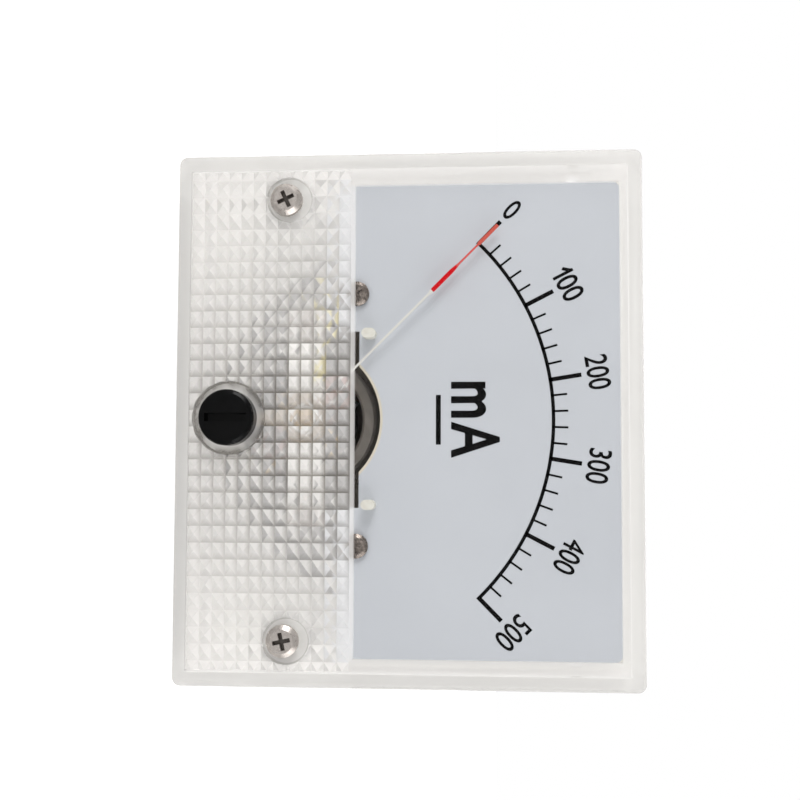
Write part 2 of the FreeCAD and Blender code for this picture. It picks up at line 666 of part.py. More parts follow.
cover.Label = "front_cover"
keep(cover)


# Screws with a domed head and a cross recess; the head lies in front of local zero, the shank behind it

def pan_screw(label, x, y, z, shank_radius, length, head_radius, head_height, turn=0.0):
    """A small cross-recess pan-head screw, its thread left plain."""
    screw = body(label, x, y, z)
    crown = head_height * s.head_crown_share
    shoulder = head_radius * s.head_flat_share
    bevel = shank_radius * s.shank_point_share
    turned(screw, [(0, -head_height), (shoulder, -head_height), (head_radius, crown - head_height),
                   (head_radius, 0), (shank_radius, 0), (shank_radius, length - bevel),
                   (shank_radius - bevel, length), (0, length)])
    reach = head_radius * s.recess_reach_share
    half = head_radius * s.recess_half_share
    for angle in (turn, turn + 90.0):
        arm = sketch_on(screw, "XZ_Plane", head_height)
        radians = math.radians(angle)
        corners = []
        for along, aside in ((-1, -1), (1, -1), (1, 1), (-1, 1)):
            corners.append((reach * (along * math.cos(radians)) - half * (aside * math.sin(radians)),
                            reach * (along * math.sin(radians)) + half * (aside * math.cos(radians))))
        outline(arm, corners)
        pocket(screw, arm, head_height * s.recess_depth_share)
    return keep(screw)


screw_seat = texture_face + s.screw_recess_depth
cover_screw_shank = boss_joint - screw_seat + s.cover_screw_length - s.cover_screw_tip_gap
for side, name, turn in ((-1, "left", 25.0), (1, "right", 12.0)):
    pan_screw(f"cover_screw_{name}", side * boss_x, screw_seat, boss_z, s.cover_screw_radius,
              cover_screw_shank, s.cover_screw_head_radius, s.cover_screw_head_height, turn)
    pan_screw(f"dial_screw_{name}", side * dial_post_x, dial_front, dial_post_z,
              s.dial_screw_radius, s.dial_screw_length, s.dial_screw_head_radius,
              s.dial_screw_head_height, turn)
    pan_screw(f"frame_screw_{name}", side * frame_screw_x, frame_front, frame_screw_z,
              s.frame_screw_radius, s.frame_screw_length, s.frame_screw_head_radius,
              s.frame_screw_head_height, turn)
    pan_screw(f"bridge_screw_{name}", side * pillar_x, bridge_foot_front, pivot_z,
              s.bridge_screw_radius, s.bridge_screw_length, s.bridge_screw_head_radius,
              s.bridge_screw_head_height, turn)

# Dial plate: a thin sheet with two ears below and an arch that clears the movement

dial = body("dial_plate", y=dial_back)
gap = s.dial_gap_half_width
dial_top = half_height - s.dial_margin_top
sheet_pad = pad(dial, outline(sketch_on(dial, "XZ_Plane"), [
    (-dial_half_width, dial_ear_bottom), (-gap, dial_ear_bottom), (-gap, dial_gap_top),
    (gap, dial_gap_top), (gap, dial_ear_bottom), (dial_half_width, dial_ear_bottom),
    (dial_half_width, dial_top), (-dial_half_width, dial_top)]), s.dial_thickness)


def on_dial_corner(a, b):
    """True for the dial's two upper corners."""
    return along_y(a, b) and a.z > dial_top.number - 1e-6


round_edges(dial, sheet_pad, edges_where(sheet_pad, on_dial_corner), s.dial_corner_radius)
dial_holes = sketch_on(dial, "XZ_Plane", s.dial_thickness)
circle(dial_holes, 0, pivot_z, s.dial_arch_radius)
pocket(dial, dial_holes, s.dial_thickness)
dial_screw_holes = sketch_on(dial, "XZ_Plane", s.dial_thickness)
for side in (-1, 1):
    circle(dial_screw_holes, side * dial_post_x, dial_post_z,
           s.dial_screw_radius + s.thread_clearance)
pocket(dial, dial_screw_holes, s.dial_thickness)
keep(dial)

# Pointer stops: soft pegs set on the dial either side of the arch

for side, name in ((-1, "left"), (1, "right")):
    stop = body(f"pointer_stop_{name}", side * s.stop_x, dial_front, stop_z)
    pad(stop, circle(sketch_on(stop, "XZ_Plane"), 0, -s.stop_stretch / 2, s.stop_radius), s.stop_height)
    pad(stop, circle(sketch_on(stop, "XZ_Plane"), 0, s.stop_stretch / 2, s.stop_radius), s.stop_height)
    pad(stop, rectangle(sketch_on(stop, "XZ_Plane"), -s.stop_radius, s.stop_radius,
                        -s.stop_stretch / 2, s.stop_stretch / 2), s.stop_height)
    keep(stop)

# Movement frame: moulded plate with the ring's cup, two dial posts and two bridge pillars

frame = body("movement_frame", y=frame_back)
pad(frame, circle(sketch_on(frame, "XZ_Plane"), 0, 0, frame_radius), s.frame_thickness)
flat = sketch_on(frame, "XZ_Plane", s.frame_thickness)
rectangle(flat, -frame_radius - SPARE, frame_radius + SPARE, frame_top, frame_radius + SPARE)
pocket(frame, flat, s.frame_thickness)
cup = sketch_on(frame, "XZ_Plane", s.frame_thickness)
circle(cup, 0, pivot_z, cup_outer_radius)
pad(frame, cup, frame_front - s.cup_front)
bore = sketch_on(frame, "XZ_Plane", frame_back - s.cup_front)
circle(bore, 0, pivot_z, ring_outer_radius + s.seat_clearance)
pocket(frame, bore, ring_back - s.cup_front)
seat = sketch_on(frame, "XZ_Plane", frame_back - ring_back)
circle(seat, 0, pivot_z, ring_inner_radius + s.cup_step)
pocket(frame, seat, frame_front - ring_back)
posts = sketch_on(frame, "XZ_Plane", s.frame_thickness)
for side in (-1, 1):
    circle(posts, side * dial_post_x, dial_post_z, s.dial_post_radius)
pad(frame, posts, frame_front - dial_back)
pillars = sketch_on(frame, "XZ_Plane", s.frame_thickness)
for side in (-1, 1):
    circle(pillars, side * pillar_x, pivot_z, s.pillar_radius)
pad(frame, pillars, frame_front - bridge_underside)
post_holes = sketch_on(frame, "XZ_Plane", frame_back - dial_back)
for side in (-1, 1):
    circle(post_holes, side * dial_post_x, dial_post_z, s.dial_screw_radius + s.thread_clearance)
pocket(frame, post_holes, s.dial_screw_length)
pillar_holes = sketch_on(frame, "XZ_Plane", frame_back - bridge_underside)
for side in (-1, 1):
    circle(pillar_holes, side * pillar_x, pivot_z, s.bridge_screw_radius + s.thread_clearance)
pocket(frame, pillar_holes, s.bridge_screw_length)
plate_holes = sketch_on(frame, "XZ_Plane", s.frame_thickness)
for side in (-1, 1):
    circle(plate_holes, side * frame_screw_x, frame_screw_z,
           s.frame_screw_radius + s.thread_clearance)
circle(plate_holes, 0, pivot_z, s.jewel_screw_radius + s.thread_clearance)
pocket(frame, plate_holes, s.frame_thickness)
keep(frame)

# Magnet system: steel ring, magnet core and the two spacers that hold the core in the ring

ring = body("steel_ring", y=ring_front, z=pivot_z)
edge = s.core_chamfer
turned(ring, [(ring_inner_radius, edge), (ring_inner_radius + edge, 0), (ring_outer_radius - edge, 0),
              (ring_outer_radius, edge), (ring_outer_radius, s.ring_length),
              (ring_inner_radius, s.ring_length)])
keep(ring)
core = body("magnet_core", y=ring_front, z=pivot_z)
turned(core, [(0, 0), (s.core_radius - edge, 0), (s.core_radius, edge), (s.core_radius, s.ring_length),
              (0, s.ring_length)])
keep(core)
for side, name in ((-1, "left"), (1, "right")):
    spacer = body(f"core_spacer_{name}", y=ring_front, z=pivot_z)
    spacer_inner = s.core_radius + s.seat_clearance
    spacer_outer = ring_inner_radius - s.seat_clearance
    turned(spacer, [(spacer_inner, edge), (spacer_outer, edge), (spacer_outer, s.ring_length - edge),
                    (spacer_inner, s.ring_length - edge)])
    beyond = ring_outer_radius
    for low, high in ((s.spacer_half_height, beyond), (-beyond, -s.spacer_half_height)):
        away = sketch_on(spacer, "XZ_Plane")
        rectangle(away, -beyond, beyond, low, high)
        pocket(spacer, away, s.ring_length)
    away = sketch_on(spacer, "XZ_Plane")
    rectangle(away, 0, -side * beyond, -beyond, beyond)
    pocket(spacer, away, s.ring_length)
    keep(spacer)

# Moving coil: strip former, copper winding and the two pivots, drawn upright and turned to zero

former_half = s.core_radius + s.coil_gap
former = body("coil_former", z=pivot_z, turn=s.rest_angle)
loop = sketch_on(former, "YZ_Plane")
strip = s.former_thickness
rectangle(loop, former_front - strip, former_back + strip, -former_half - strip, former_half + strip)
rectangle(loop, former_front, former_back, -former_half, former_half)
pad(former, loop, s.former_width, middle=True)
keep(former)
winding = body("coil_winding", z=pivot_z, turn=s.rest_angle)
turns = sketch_on(winding, "YZ_Plane")
winding_inner = former_half + strip + s.winding_clearance
winding_outer = winding_inner + s.winding_thickness
rectangle(turns, winding_front, winding_back, -winding_outer, winding_outer)
rectangle(turns, winding_front + s.winding_thickness, winding_back - s.winding_thickness,
          -winding_inner, winding_inner)
pad(winding, turns, s.winding_width, middle=True)
keep(winding)


def pivot(label, y, direction):
    """A hardened spindle with a pointed end on a round base that is cemented to the winding."""
    piece = body(label, y=y, z=pivot_z, turn=s.rest_angle)
    cone_base = s.pivot_base_height + s.spindle_length - s.pivot_cone_length
    base_top = direction * s.pivot_base_height
    turned(piece, [(0, 0), (s.pivot_base_radius, 0), (s.pivot_base_radius, base_top),
                   (s.spindle_radius, base_top), (s.spindle_radius, direction * cone_base),
                   (0, direction * (s.pivot_base_height + s.spindle_length))])
    return keep(piece)


pivot("pivot_front", winding_front, -1)
pivot("pivot_rear", winding_back, 1)


def jewel_screw(label, y, length, direction):
    """A slotted screw with a small jewel hole at its inner end, which is at local zero."""
    piece = body(label, y=y, z=pivot_z)
    turned(piece, [(s.jewel_hole_radius, 0), (s.jewel_screw_radius, 0),
                   (s.jewel_screw_radius, direction * length), (0, direction * length),
                   (0, direction * s.jewel_hole_depth),
                   (s.jewel_hole_radius, direction * s.jewel_hole_depth)])
    slot = sketch_on(piece, "XZ_Plane", -direction * length)
    rectangle(slot, -s.jewel_slot_width / 2, s.jewel_slot_width / 2, -s.jewel_screw_radius - SPARE,
              s.jewel_screw_radius + SPARE)
    pocket(piece, slot, s.jewel_slot_depth, reverse=direction > 0)
    return keep(piece)


front_jewel = front_point + s.jewel_entry
jewel_screw("jewel_screw_front", front_jewel, front_jewel - bridge_front + s.bridge_boss_height, -1)
rear_jewel = rear_point - s.jewel_entry
jewel_screw("jewel_screw_rear", rear_jewel, frame_back - rear_jewel + s.jewel_slot_depth, 1)

# Front bridge: a cranked strip on the pillars, with a collar for the zero lever

bridge = body("front_bridge", z=pivot_z)
bridge_half_width = pillar_x + s.pillar_radius
slope_end = s.bridge_middle_half + s.bridge_slope
thick = s.bridge_thickness
inner_slope_end = slope_end - s.bridge_bend_inset
inner_middle = s.bridge_middle_half - s.bridge_bend_inset
pad(bridge, outline(sketch_on(bridge, "XY_Plane"), [
    (-bridge_half_width, bridge_foot_front), (-slope_end, bridge_foot_front),
    (-s.bridge_middle_half, bridge_front), (s.bridge_middle_half, bridge_front),
    (slope_end, bridge_foot_front), (bridge_half_width, bridge_foot_front),
    (bridge_half_width, bridge_underside), (inner_slope_end, bridge_underside),
    (inner_middle, bridge_front + thick), (-inner_middle, bridge_front + thick),
    (-inner_slope_end, bridge_underside), (-bridge_half_width, bridge_underside)]),
    2 * s.bridge_half_height, middle=True)
collar = sketch_on(bridge, "XZ_Plane", -bridge_front)
circle(collar, 0, 0, s.bridge_boss_radius)
pad(bridge, collar, s.bridge_boss_height)
bridge_holes = sketch_on(bridge, "XZ_Plane", s.bridge_boss_height - bridge_front)
circle(bridge_holes, 0, 0, s.jewel_screw_radius + s.thread_clearance)
pocket(bridge, bridge_holes, s.bridge_boss_height + thick)
foot_holes = sketch_on(bridge, "XZ_Plane", -bridge_foot_front)
for side in (-1, 1):
    circle(foot_holes, side * pillar_x, 0, s.bridge_screw_radius + s.thread_clearance)
pocket(bridge, foot_holes, thick)
keep(bridge)

# Balance cross with its three weights, clamped between pivot and pointer

cross = body("balance_cross", y=cross_back, z=pivot_z, turn=s.rest_angle)
pad(cross, circle(sketch_on(cross, "XZ_Plane"), 0, 0, s.cross_hub_radius), s.cross_thickness)
pad(cross, rectangle(sketch_on(cross, "XZ_Plane"), -s.cross_arm_length, s.cross_arm_length,
                     -s.cross_arm_width / 2, s.cross_arm_width / 2), s.cross_thickness)
pad(cross, rectangle(sketch_on(cross, "XZ_Plane"), -s.cross_arm_width / 2, s.cross_arm_width / 2,
                     -s.tail_arm_length, 0), s.cross_thickness)
cross_hole = sketch_on(cross, "XZ_Plane", s.cross_thickness)
circle(cross_hole, 0, 0, s.spindle_radius + s.seat_clearance)
pocket(cross, cross_hole, s.cross_thickness)
keep(cross)


def weight(label, plane, start, flip, length):
    """A balance weight: a short sleeve pushed along one arm."""
    piece = body(label, y=cross_front + s.cross_thickness / 2, z=pivot_z, turn=s.rest_angle)
    half_arm = s.cross_arm_width / 2 + s.seat_clearance
    half_thick = s.cross_thickness / 2 + s.seat_clearance
    sleeve = sketch_on(piece, plane, flip * start)
    circle(sleeve, 0, 0, s.weight_radius)
    if plane == "YZ_Plane":
        rectangle(sleeve, -half_thick, half_thick, -half_arm, half_arm)
    else:
        rectangle(sleeve, -half_arm, half_arm, -half_thick, half_thick)
    pad(piece, sleeve, length, reverse=flip < 0)
    return keep(piece)


weight("balance_weight_left", "YZ_Plane", s.side_weight_at, -1, s.weight_length)
weight("balance_weight_right", "YZ_Plane", s.side_weight_at, 1, s.weight_length)
tail_weight_start = s.tail_weight_at - s.tail_weight_length / 2
weight("balance_weight_tail", "XY_Plane", tail_weight_start, -1, s.tail_weight_length)

# Pointer: a fine blade that rises over the dial's edge, painted from the lance outwards

needle = body("pointer", z=pivot_z, turn=s.rest_angle)
blade = s.pointer_thickness
crank = sketch_on(needle, "YZ_Plane")
outline(crank, [(pointer_root_front, s.pointer_root), (pointer_root_front, s.crank_start),
                (pointer_front, s.crank_end),
                (pointer_front, s.lance_start + SPARE), (pointer_front + blade, s.lance_start + SPARE),
                (pointer_front + blade, s.crank_end), (cross_front, s.crank_start),
                (cross_front, s.pointer_root)])
pad(needle, crank, s.needle_width, middle=True)
lance = sketch_on(needle, "XZ_Plane", -pointer_front - blade)
half_lance = s.lance_width / 2
half_neck = s.neck_width / 2
half_tip = s.tip_width / 2
half_needle = s.needle_width / 2
lance_root = s.lance_start - half_lance
tip_shoulder = s.tip_start + half_tip
outline(lance, [(-half_needle, lance_root), (half_needle, lance_root), (half_lance, s.lance_start),
                (half_lance, s.lance_end), (half_neck, s.neck_start), (half_neck, s.tip_start),
                (half_tip, tip_shoulder), (half_tip, s.pointer_reach), (-half_tip, s.pointer_reach),
                (-half_tip, tip_shoulder), (-half_neck, s.tip_start), (-half_neck, s.neck_start),
                (-half_lance, s.lance_end), (-half_lance, s.lance_start)])
pad(needle, lance, blade)
keep(needle)

# Hairsprings: flat spirals of phosphor bronze; the zero lever holds the front one, a tag the rear one


def hairspring(label, y, turn):
    """A strip wound as a flat spiral whose outer end meets its tab."""
    spiral = doc.addObject("Part::Spiral", f"{label}_line")
    spiral.setExpression("Growth", s.spring_pitch.formula)
    spiral.setExpression("Radius", s.spring_inner_radius.formula)
    spiral.setExpression("Rotations", s.spring_turns.formula)
    section = doc.addObject("Part::Plane", f"{label}_section")
    section.setExpression("Length", s.spring_strip.formula)
    section.setExpression("Width", s.spring_height.formula)
    section.Placement.Rotation = FreeCAD.Rotation(FreeCAD.Vector(1, 0, 0), 90)
    section.setExpression("Placement.Base.x", s.spring_inner_radius.formula)
    sweep = doc.addObject("Part::Sweep", label)
    sweep.Sections = [section]
    doc.recompute()
    names = [f"Edge{index + 1}" for index in range(len(spiral.Shape.Edges))]
    sweep.Spine = (spiral, names)
    sweep.Solid = True
    sweep.Frenet = True
    lie_flat = FreeCAD.Rotation(FreeCAD.Vector(1, 0, 0), 90)
    sweep.Placement.Rotation = FreeCAD.Rotation(UPRIGHT, turn).multiply(lie_flat)
    place(sweep, 0, y + s.spring_height, pivot_z)
    sweep.Label = label
    return keep(sweep)


hairspring("hairspring_front", front_spring_front, 90.0)
hairspring("hairspring_rear", rear_spring_front, 90.0)
tag = body("rear_spring_tag", y=frame_front, z=pivot_z)
pad(tag, rectangle(sketch_on(tag, "XZ_Plane"), -s.spring_tab_width / 2, s.spring_tab_width / 2,
                   -spring_tab_inner - s.spring_tab_thickness, -spring_tab_inner),
    frame_front - rear_spring_front)
keep(tag)

# Zero adjuster: slotted head and shaft with a crank pin, kept in the cover by a pushed-on ring

knob = body("zero_adjuster", y=knob_seat - s.knob_gap, z=knob_z)
shaft_length = shaft_end - knob_seat + s.knob_gap
turned(knob, [(0, -s.knob_height), (s.knob_radius - s.knob_rounding, -s.knob_height),
              (s.knob_radius - s.knob_facet, s.knob_facet - s.knob_height),
              (s.knob_radius, s.knob_rounding - s.knob_height), (s.knob_radius, 0),
              (s.knob_shaft_radius, 0), (s.knob_shaft_radius, shaft_length), (0, shaft_length)])
knob_slot = sketch_on(knob, "XZ_Plane", s.knob_height)
rectangle(knob_slot, -s.knob_slot_width / 2, s.knob_slot_width / 2,
          -s.knob_slot_length / 2, s.knob_slot_length / 2)
pocket(knob, knob_slot, s.knob_slot_depth)
crank_pin = sketch_on(knob, "XZ_Plane", -shaft_length)
circle(crank_pin, 0, s.eccentric_offset, s.eccentric_radius)
pad(knob, crank_pin, s.eccentric_length, reverse=True)
keep(knob)
retainer = body("adjuster_retainer", y=shaft_end - s.retainer_thickness, z=knob_z)
turned(retainer, [(s.knob_shaft_radius + s.seat_clearance, 0), (s.retainer_radius, 0),
                  (s.retainer_radius, s.retainer_thickness),
                  (s.knob_shaft_radius + s.seat_clearance, s.retainer_thickness)])
keep(retainer)

# Zero lever: a stamped fork that turns on the bridge's collar and carries the front hairspring's tab

lever = body("zero_lever", y=lever_back, z=pivot_z)
pad(lever, circle(sketch_on(lever, "XZ_Plane"), 0, 0, s.lever_ring_radius), s.lever_thickness)
pad(lever, rectangle(sketch_on(lever, "XZ_Plane"), -s.lever_arm_width / 2, s.lever_arm_width / 2,
                     -fork_start, 0), s.lever_thickness)
pad(lever, rectangle(sketch_on(lever, "XZ_Plane"), -s.fork_width / 2, s.fork_width / 2,
                     -fork_end, -fork_start), s.lever_thickness)
fork_slot = sketch_on(lever, "XZ_Plane", s.lever_thickness)
slot_half = s.eccentric_radius + s.fork_clearance
rectangle(fork_slot, -slot_half, slot_half, -fork_end - SPARE, s.lever_arm_width / 4 - fork_start)
pocket(lever, fork_slot, s.lever_thickness)
lever_hole = sketch_on(lever, "XZ_Plane", s.lever_thickness)
circle(lever_hole, 0, 0, s.bridge_boss_radius + s.lever_clearance)
pocket(lever, lever_hole, s.lever_thickness)
spring_tab = sketch_on(lever, "XZ_Plane")
rectangle(spring_tab, -s.spring_tab_width / 2, s.spring_tab_width / 2,
          -spring_tab_inner - s.spring_tab_thickness, -spring_tab_inner)
pad(lever, spring_tab, front_spring_front + s.spring_height - lever_back, reverse=True)
keep(lever)


# Mounting studs with washer and nut, and the terminals with their hardware and the shunt

def washer(label, x, y, z, inner, outer, thickness):
    """A plain washer whose front face is at local zero."""
    piece = body(label, x, y, z)
    turned(piece, [(inner, 0), (outer, 0), (outer, thickness), (inner, thickness)])
    return keep(piece)


def nut(label, x, y, z, bore_radius, flats, height):
    """A hexagon nut whose front face is at local zero and whose rear corners are bevelled."""
    piece = body(label, x, y, z)
    pad(piece, hexagon(sketch_on(piece, "XZ_Plane"), flats), height, reverse=True)
    corner_cut = flats * s.nut_corner_share
    corner = flats / math.sqrt(3.0)
    turned(piece, [(corner - corner_cut, height), (corner + corner_cut, height),
                   (corner + corner_cut, height - corner_cut)], cut=True)
    hole = sketch_on(piece, "XZ_Plane")
    circle(hole, 0, 0, bore_radius)
    pocket(piece, hole, height)
    return keep(piece)


for side, name in ((-1, "left"), (1, "right")):
    x = side * boss_x
    stud = body(f"mounting_stud_{name}", x, 0, boss_z)
    thread_start = s.stud_nut_offset - s.stud_run_out
    turned(stud, [(0, -s.stud_root_length), (s.stud_root_radius, -s.stud_root_length),
                  (s.stud_root_radius, 0), (s.stud_radius, 0), (s.stud_radius, thread_start),
                  (s.stud_thread_radius, thread_start),
                  (s.stud_thread_radius, s.stud_length - s.stud_end_bevel),
                  (s.stud_thread_radius - s.stud_end_bevel, s.stud_length), (0, s.stud_length)])
    keep(stud)
    washer(f"mounting_washer_{name}", x, s.stud_nut_offset, boss_z, s.stud_radius + s.thread_clearance,
           s.stud_washer_radius, s.stud_washer_thickness)
    nut(f"mounting_nut_{name}", x, s.stud_nut_offset + s.stud_washer_thickness, boss_z,
        s.stud_thread_radius + s.thread_clearance, s.stud_nut_flats, s.stud_nut_height)

shunt_back = barrel_floor
shunt_front = shunt_back - s.shunt_thickness
lock_nut_at = s.barrel_depth + s.terminal_washer_thickness
lug_at = lock_nut_at + s.terminal_nut_height
outer_nut_at = lug_at + s.lug_thickness
terminal_bore = s.terminal_radius + s.thread_clearance
for side, name in ((-1, "positive"), (1, "negative")):
    x = side * s.terminal_x
    terminal = body(f"terminal_stud_{name}", x, shunt_front, 0)
    pad(terminal, hexagon(sketch_on(terminal, "XZ_Plane"), s.terminal_head_flats),
        s.terminal_head_height)
    shank = s.barrel_depth - shunt_front + s.terminal_length
    turned(terminal, [(0, 0), (s.terminal_radius, 0), (s.terminal_radius, shank - s.stud_end_bevel),
                      (s.terminal_radius - s.stud_end_bevel, shank), (0, shank)])
    keep(terminal)
    washer(f"terminal_washer_{name}", x, s.barrel_depth, 0, terminal_bore, s.terminal_washer_radius,
           s.terminal_washer_thickness)
    nut(f"terminal_lock_nut_{name}", x, lock_nut_at, 0, terminal_bore, s.terminal_nut_flats,
        s.terminal_nut_height)
    lug = body(f"solder_lug_{name}", x, outer_nut_at, 0)
    pad(lug, circle(sketch_on(lug, "XZ_Plane"), 0, 0, s.lug_radius), s.lug_thickness)
    pad(lug, rectangle(sketch_on(lug, "XZ_Plane"), -s.lug_width / 2, s.lug_width / 2, 0, s.lug_reach),
        s.lug_thickness)
    lug_holes = sketch_on(lug, "XZ_Plane", s.lug_thickness)
    circle(lug_holes, 0, 0, terminal_bore)
    circle(lug_holes, 0, s.lug_reach - s.lug_width / 2, s.lug_hole_radius)
    pocket(lug, lug_holes, s.lug_thickness)
    keep(lug)
    nut(f"terminal_nut_{name}", x, outer_nut_at, 0, terminal_bore, s.terminal_nut_flats,
        s.terminal_nut_height)

shunt = body("shunt_strip", y=shunt_back)
shunt_half = s.terminal_x + s.shunt_overlap
waist_start = s.terminal_x - s.shunt_overlap
pad(shunt, outline(sketch_on(shunt, "XZ_Plane"), [
    (-shunt_half, -s.shunt_half_height), (-waist_start, -s.shunt_half_height),
    (s.shunt_waist - waist_start, -s.shunt_waist), (waist_start - s.shunt_waist, -s.shunt_waist),
    (waist_start, -s.shunt_half_height), (shunt_half, -s.shunt_half_height),
    (shunt_half, s.shunt_half_height), (waist_start, s.shunt_half_height),
    (waist_start - s.shunt_waist, s.shunt_waist), (s.shunt_waist - waist_start, s.shunt_waist),
    (-waist_start, s.shunt_half_height), (-shunt_half, s.shunt_half_height)]), s.shunt_thickness)
shunt_holes = sketch_on(shunt, "XZ_Plane", s.shunt_thickness)
for side in (-1, 1):
    circle(shunt_holes, side * s.terminal_x, 0, terminal_bore)
pocket(shunt, shunt_holes, s.shunt_thickness)
keep(shunt)


# Inner leads: thin insulated wires from the two hairspring sides to the terminal heads

ARC_SHARE = 0.45  # part of the shorter run that an arc takes
LEAD_END_SHARE = 1.3  # a lead ends this far below its terminal, in terminal radii
VOLUME_SLACK = 0.02  # share by which a wire's volume may differ from section times length


def lead(label, points):
    """A round wire along straight runs that are joined by tangent arcs."""
    spots = [FreeCAD.Vector(*point) for point in points]
    edges = []
    begin = spots[0]
    for index in range(1, len(spots) - 1):
        into = spots[index] - spots[index - 1]
        out = spots[index + 1] - spots[index]
        turn = into.getAngle(out)
        short = min(into.Length, out.Length)
        into.normalize()
        out.normalize()
        cut = ARC_SHARE * short
        start = spots[index] - into * cut
        stop = spots[index] + out * cut
        radius = cut / math.tan(turn / 2)
        inward = (out - into).normalize()
        centre = spots[index] + inward * (radius / math.cos(turn / 2))
        middle = centre - inward * radius
        edges.append(Part.LineSegment(begin, start).toShape())
        edges.append(Part.Arc(start, middle, stop).toShape())
        begin = stop
    edges.append(Part.LineSegment(begin, spots[-1]).toShape())
    path = Part.Wire(edges)
    first_run = spots[1] - spots[0]
    section = Part.Wire(Part.makeCircle(s.lead_radius.number, spots[0], first_run))
    tube = path.makePipeShell([section], True, False)
    feature = doc.addObject("Part::Feature", label)
    feature.Shape = tube
    feature.Label = label
    whole = math.pi * s.lead_radius.number ** 2 * path.Length
    if abs(tube.Volume / whole - 1.0) > VOLUME_SLACK:
        raise ValueError(f"{label} has volume {tube.Volume:.3f} and should have {whole:.3f}")
    return keep(feature)


terminal_face = (shunt_front - s.terminal_head_height).number - s.lead_radius.number
terminal_edge = s.terminal_x.number


def by_axis(across, back, up):
    """A lead's point near the pivot axis, in shares of the cup's radius and the front's depth."""
    reach = cup_outer_radius.number
    return across * reach, back * s.front_depth.number, pivot_z.number + up * reach


def by_wall(across, back, up):
    """A lead's point near the wall, in shares of the frame plate's radius and the front's depth."""
    reach = frame_radius.number
    return across * reach, back * s.front_depth.number, up * reach


lead("lead_positive", [
    by_axis(-0.505, -0.831, 0.198), by_axis(-0.813, -0.828, 0.264),
    by_axis(-1.143, -0.762, 0.299), by_axis(-1.495, -0.648, 0.301),
    by_wall(-0.78, -0.441, -0.551), by_wall(-0.815, -0.124, -0.639),
    by_wall(-0.815, 0.51, -0.641), by_wall(-0.785, 0.869, -0.537),
    by_wall(-0.702, 1.214, -0.302),
    (-terminal_edge, terminal_face, -s.terminal_radius.number * LEAD_END_SHARE)])
lead("lead_negative", [
    by_axis(0.264, 0.593, -0.352), by_axis(0.396, 0.772, -0.242),
    by_wall(0.361, 0.979, -0.566), by_wall(0.556, 1.2, -0.341),
    (terminal_edge, terminal_face, -s.terminal_radius.number * LEAD_END_SHARE)])

doc.recompute()

for item in doc.Objects:
    if {"Invalid", "Error"} & set(item.State):
        raise ValueError(f"{item.Name} did not build: {item.State}")
    if item.TypeId in ("PartDesign::Pocket", "PartDesign::Groove"):
        if item.Shape.Volume > item.BaseFeature.Shape.Volume - 1e-4:
            raise ValueError(f"{item.Name} cuts nothing")

os.makedirs("parts", exist_ok=True)
for piece in pieces:
    shape = piece.Shape
    if shape.isNull() or not shape.isValid() or not shape.Solids:
        raise ValueError(f"{piece.Label} has no sound solid")
    shape.exportStep(f"parts/{piece.Label}.step")
print(len(pieces), "pieces")
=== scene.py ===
import math
import bpy
from mathutils import Matrix, Vector


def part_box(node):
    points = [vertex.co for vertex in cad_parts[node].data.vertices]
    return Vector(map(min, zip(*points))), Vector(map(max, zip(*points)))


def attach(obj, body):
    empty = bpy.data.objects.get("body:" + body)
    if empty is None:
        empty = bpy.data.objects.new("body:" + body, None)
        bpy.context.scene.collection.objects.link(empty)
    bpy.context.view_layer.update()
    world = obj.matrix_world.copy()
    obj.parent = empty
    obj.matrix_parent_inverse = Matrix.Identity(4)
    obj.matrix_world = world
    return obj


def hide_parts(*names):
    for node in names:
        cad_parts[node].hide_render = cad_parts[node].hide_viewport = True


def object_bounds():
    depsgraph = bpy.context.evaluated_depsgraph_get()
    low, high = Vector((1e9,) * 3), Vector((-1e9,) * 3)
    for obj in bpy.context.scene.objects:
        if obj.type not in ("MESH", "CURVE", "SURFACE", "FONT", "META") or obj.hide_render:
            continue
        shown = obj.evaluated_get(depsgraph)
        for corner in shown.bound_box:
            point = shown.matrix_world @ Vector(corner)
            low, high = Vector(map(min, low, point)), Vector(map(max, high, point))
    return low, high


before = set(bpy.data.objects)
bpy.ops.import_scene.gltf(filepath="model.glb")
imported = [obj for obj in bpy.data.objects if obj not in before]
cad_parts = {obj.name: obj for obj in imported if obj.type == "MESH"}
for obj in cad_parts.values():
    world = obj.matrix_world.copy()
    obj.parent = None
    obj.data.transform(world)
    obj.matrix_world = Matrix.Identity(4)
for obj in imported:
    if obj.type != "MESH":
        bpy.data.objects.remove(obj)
cad_box = [list(corner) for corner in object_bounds()]
MM = 0.001


# Bench and light
# The meter stands on a pale bench between two large soft lamps, under an even white sky.
# Camera and glass rays see plain white there, and the bench keeps the meter's shadow.

BENCH_GAP = 0.2 * MM
BENCH_SIZE = 6.0
BENCH_GREY = 0.8
BENCH_LIFT = 0.66
SKY_LEVEL = 0.55
KEY_LAMP = ("key_lamp", (-0.55, -0.40, 0.08), 0.35, 2.9)
FILL_LAMP = ("fill_lamp", (0.60, -0.36, 0.25), 0.60, 2.3)
BACK_LAMP = ("back_lamp", (0.10, 0.60, 0.50), 0.70, 2.2)


def seen_directly(tree):
    """1 for camera and glass rays, else 0."""
    path = tree.nodes.new("ShaderNodeLightPath")
    either = tree.nodes.new("ShaderNodeMath")
    either.operation = "MAXIMUM"
    tree.links.new(path.outputs["Is Camera Ray"], either.inputs[0])
    tree.links.new(path.outputs["Is Transmission Ray"], either.inputs[1])
    return either.outputs[0]


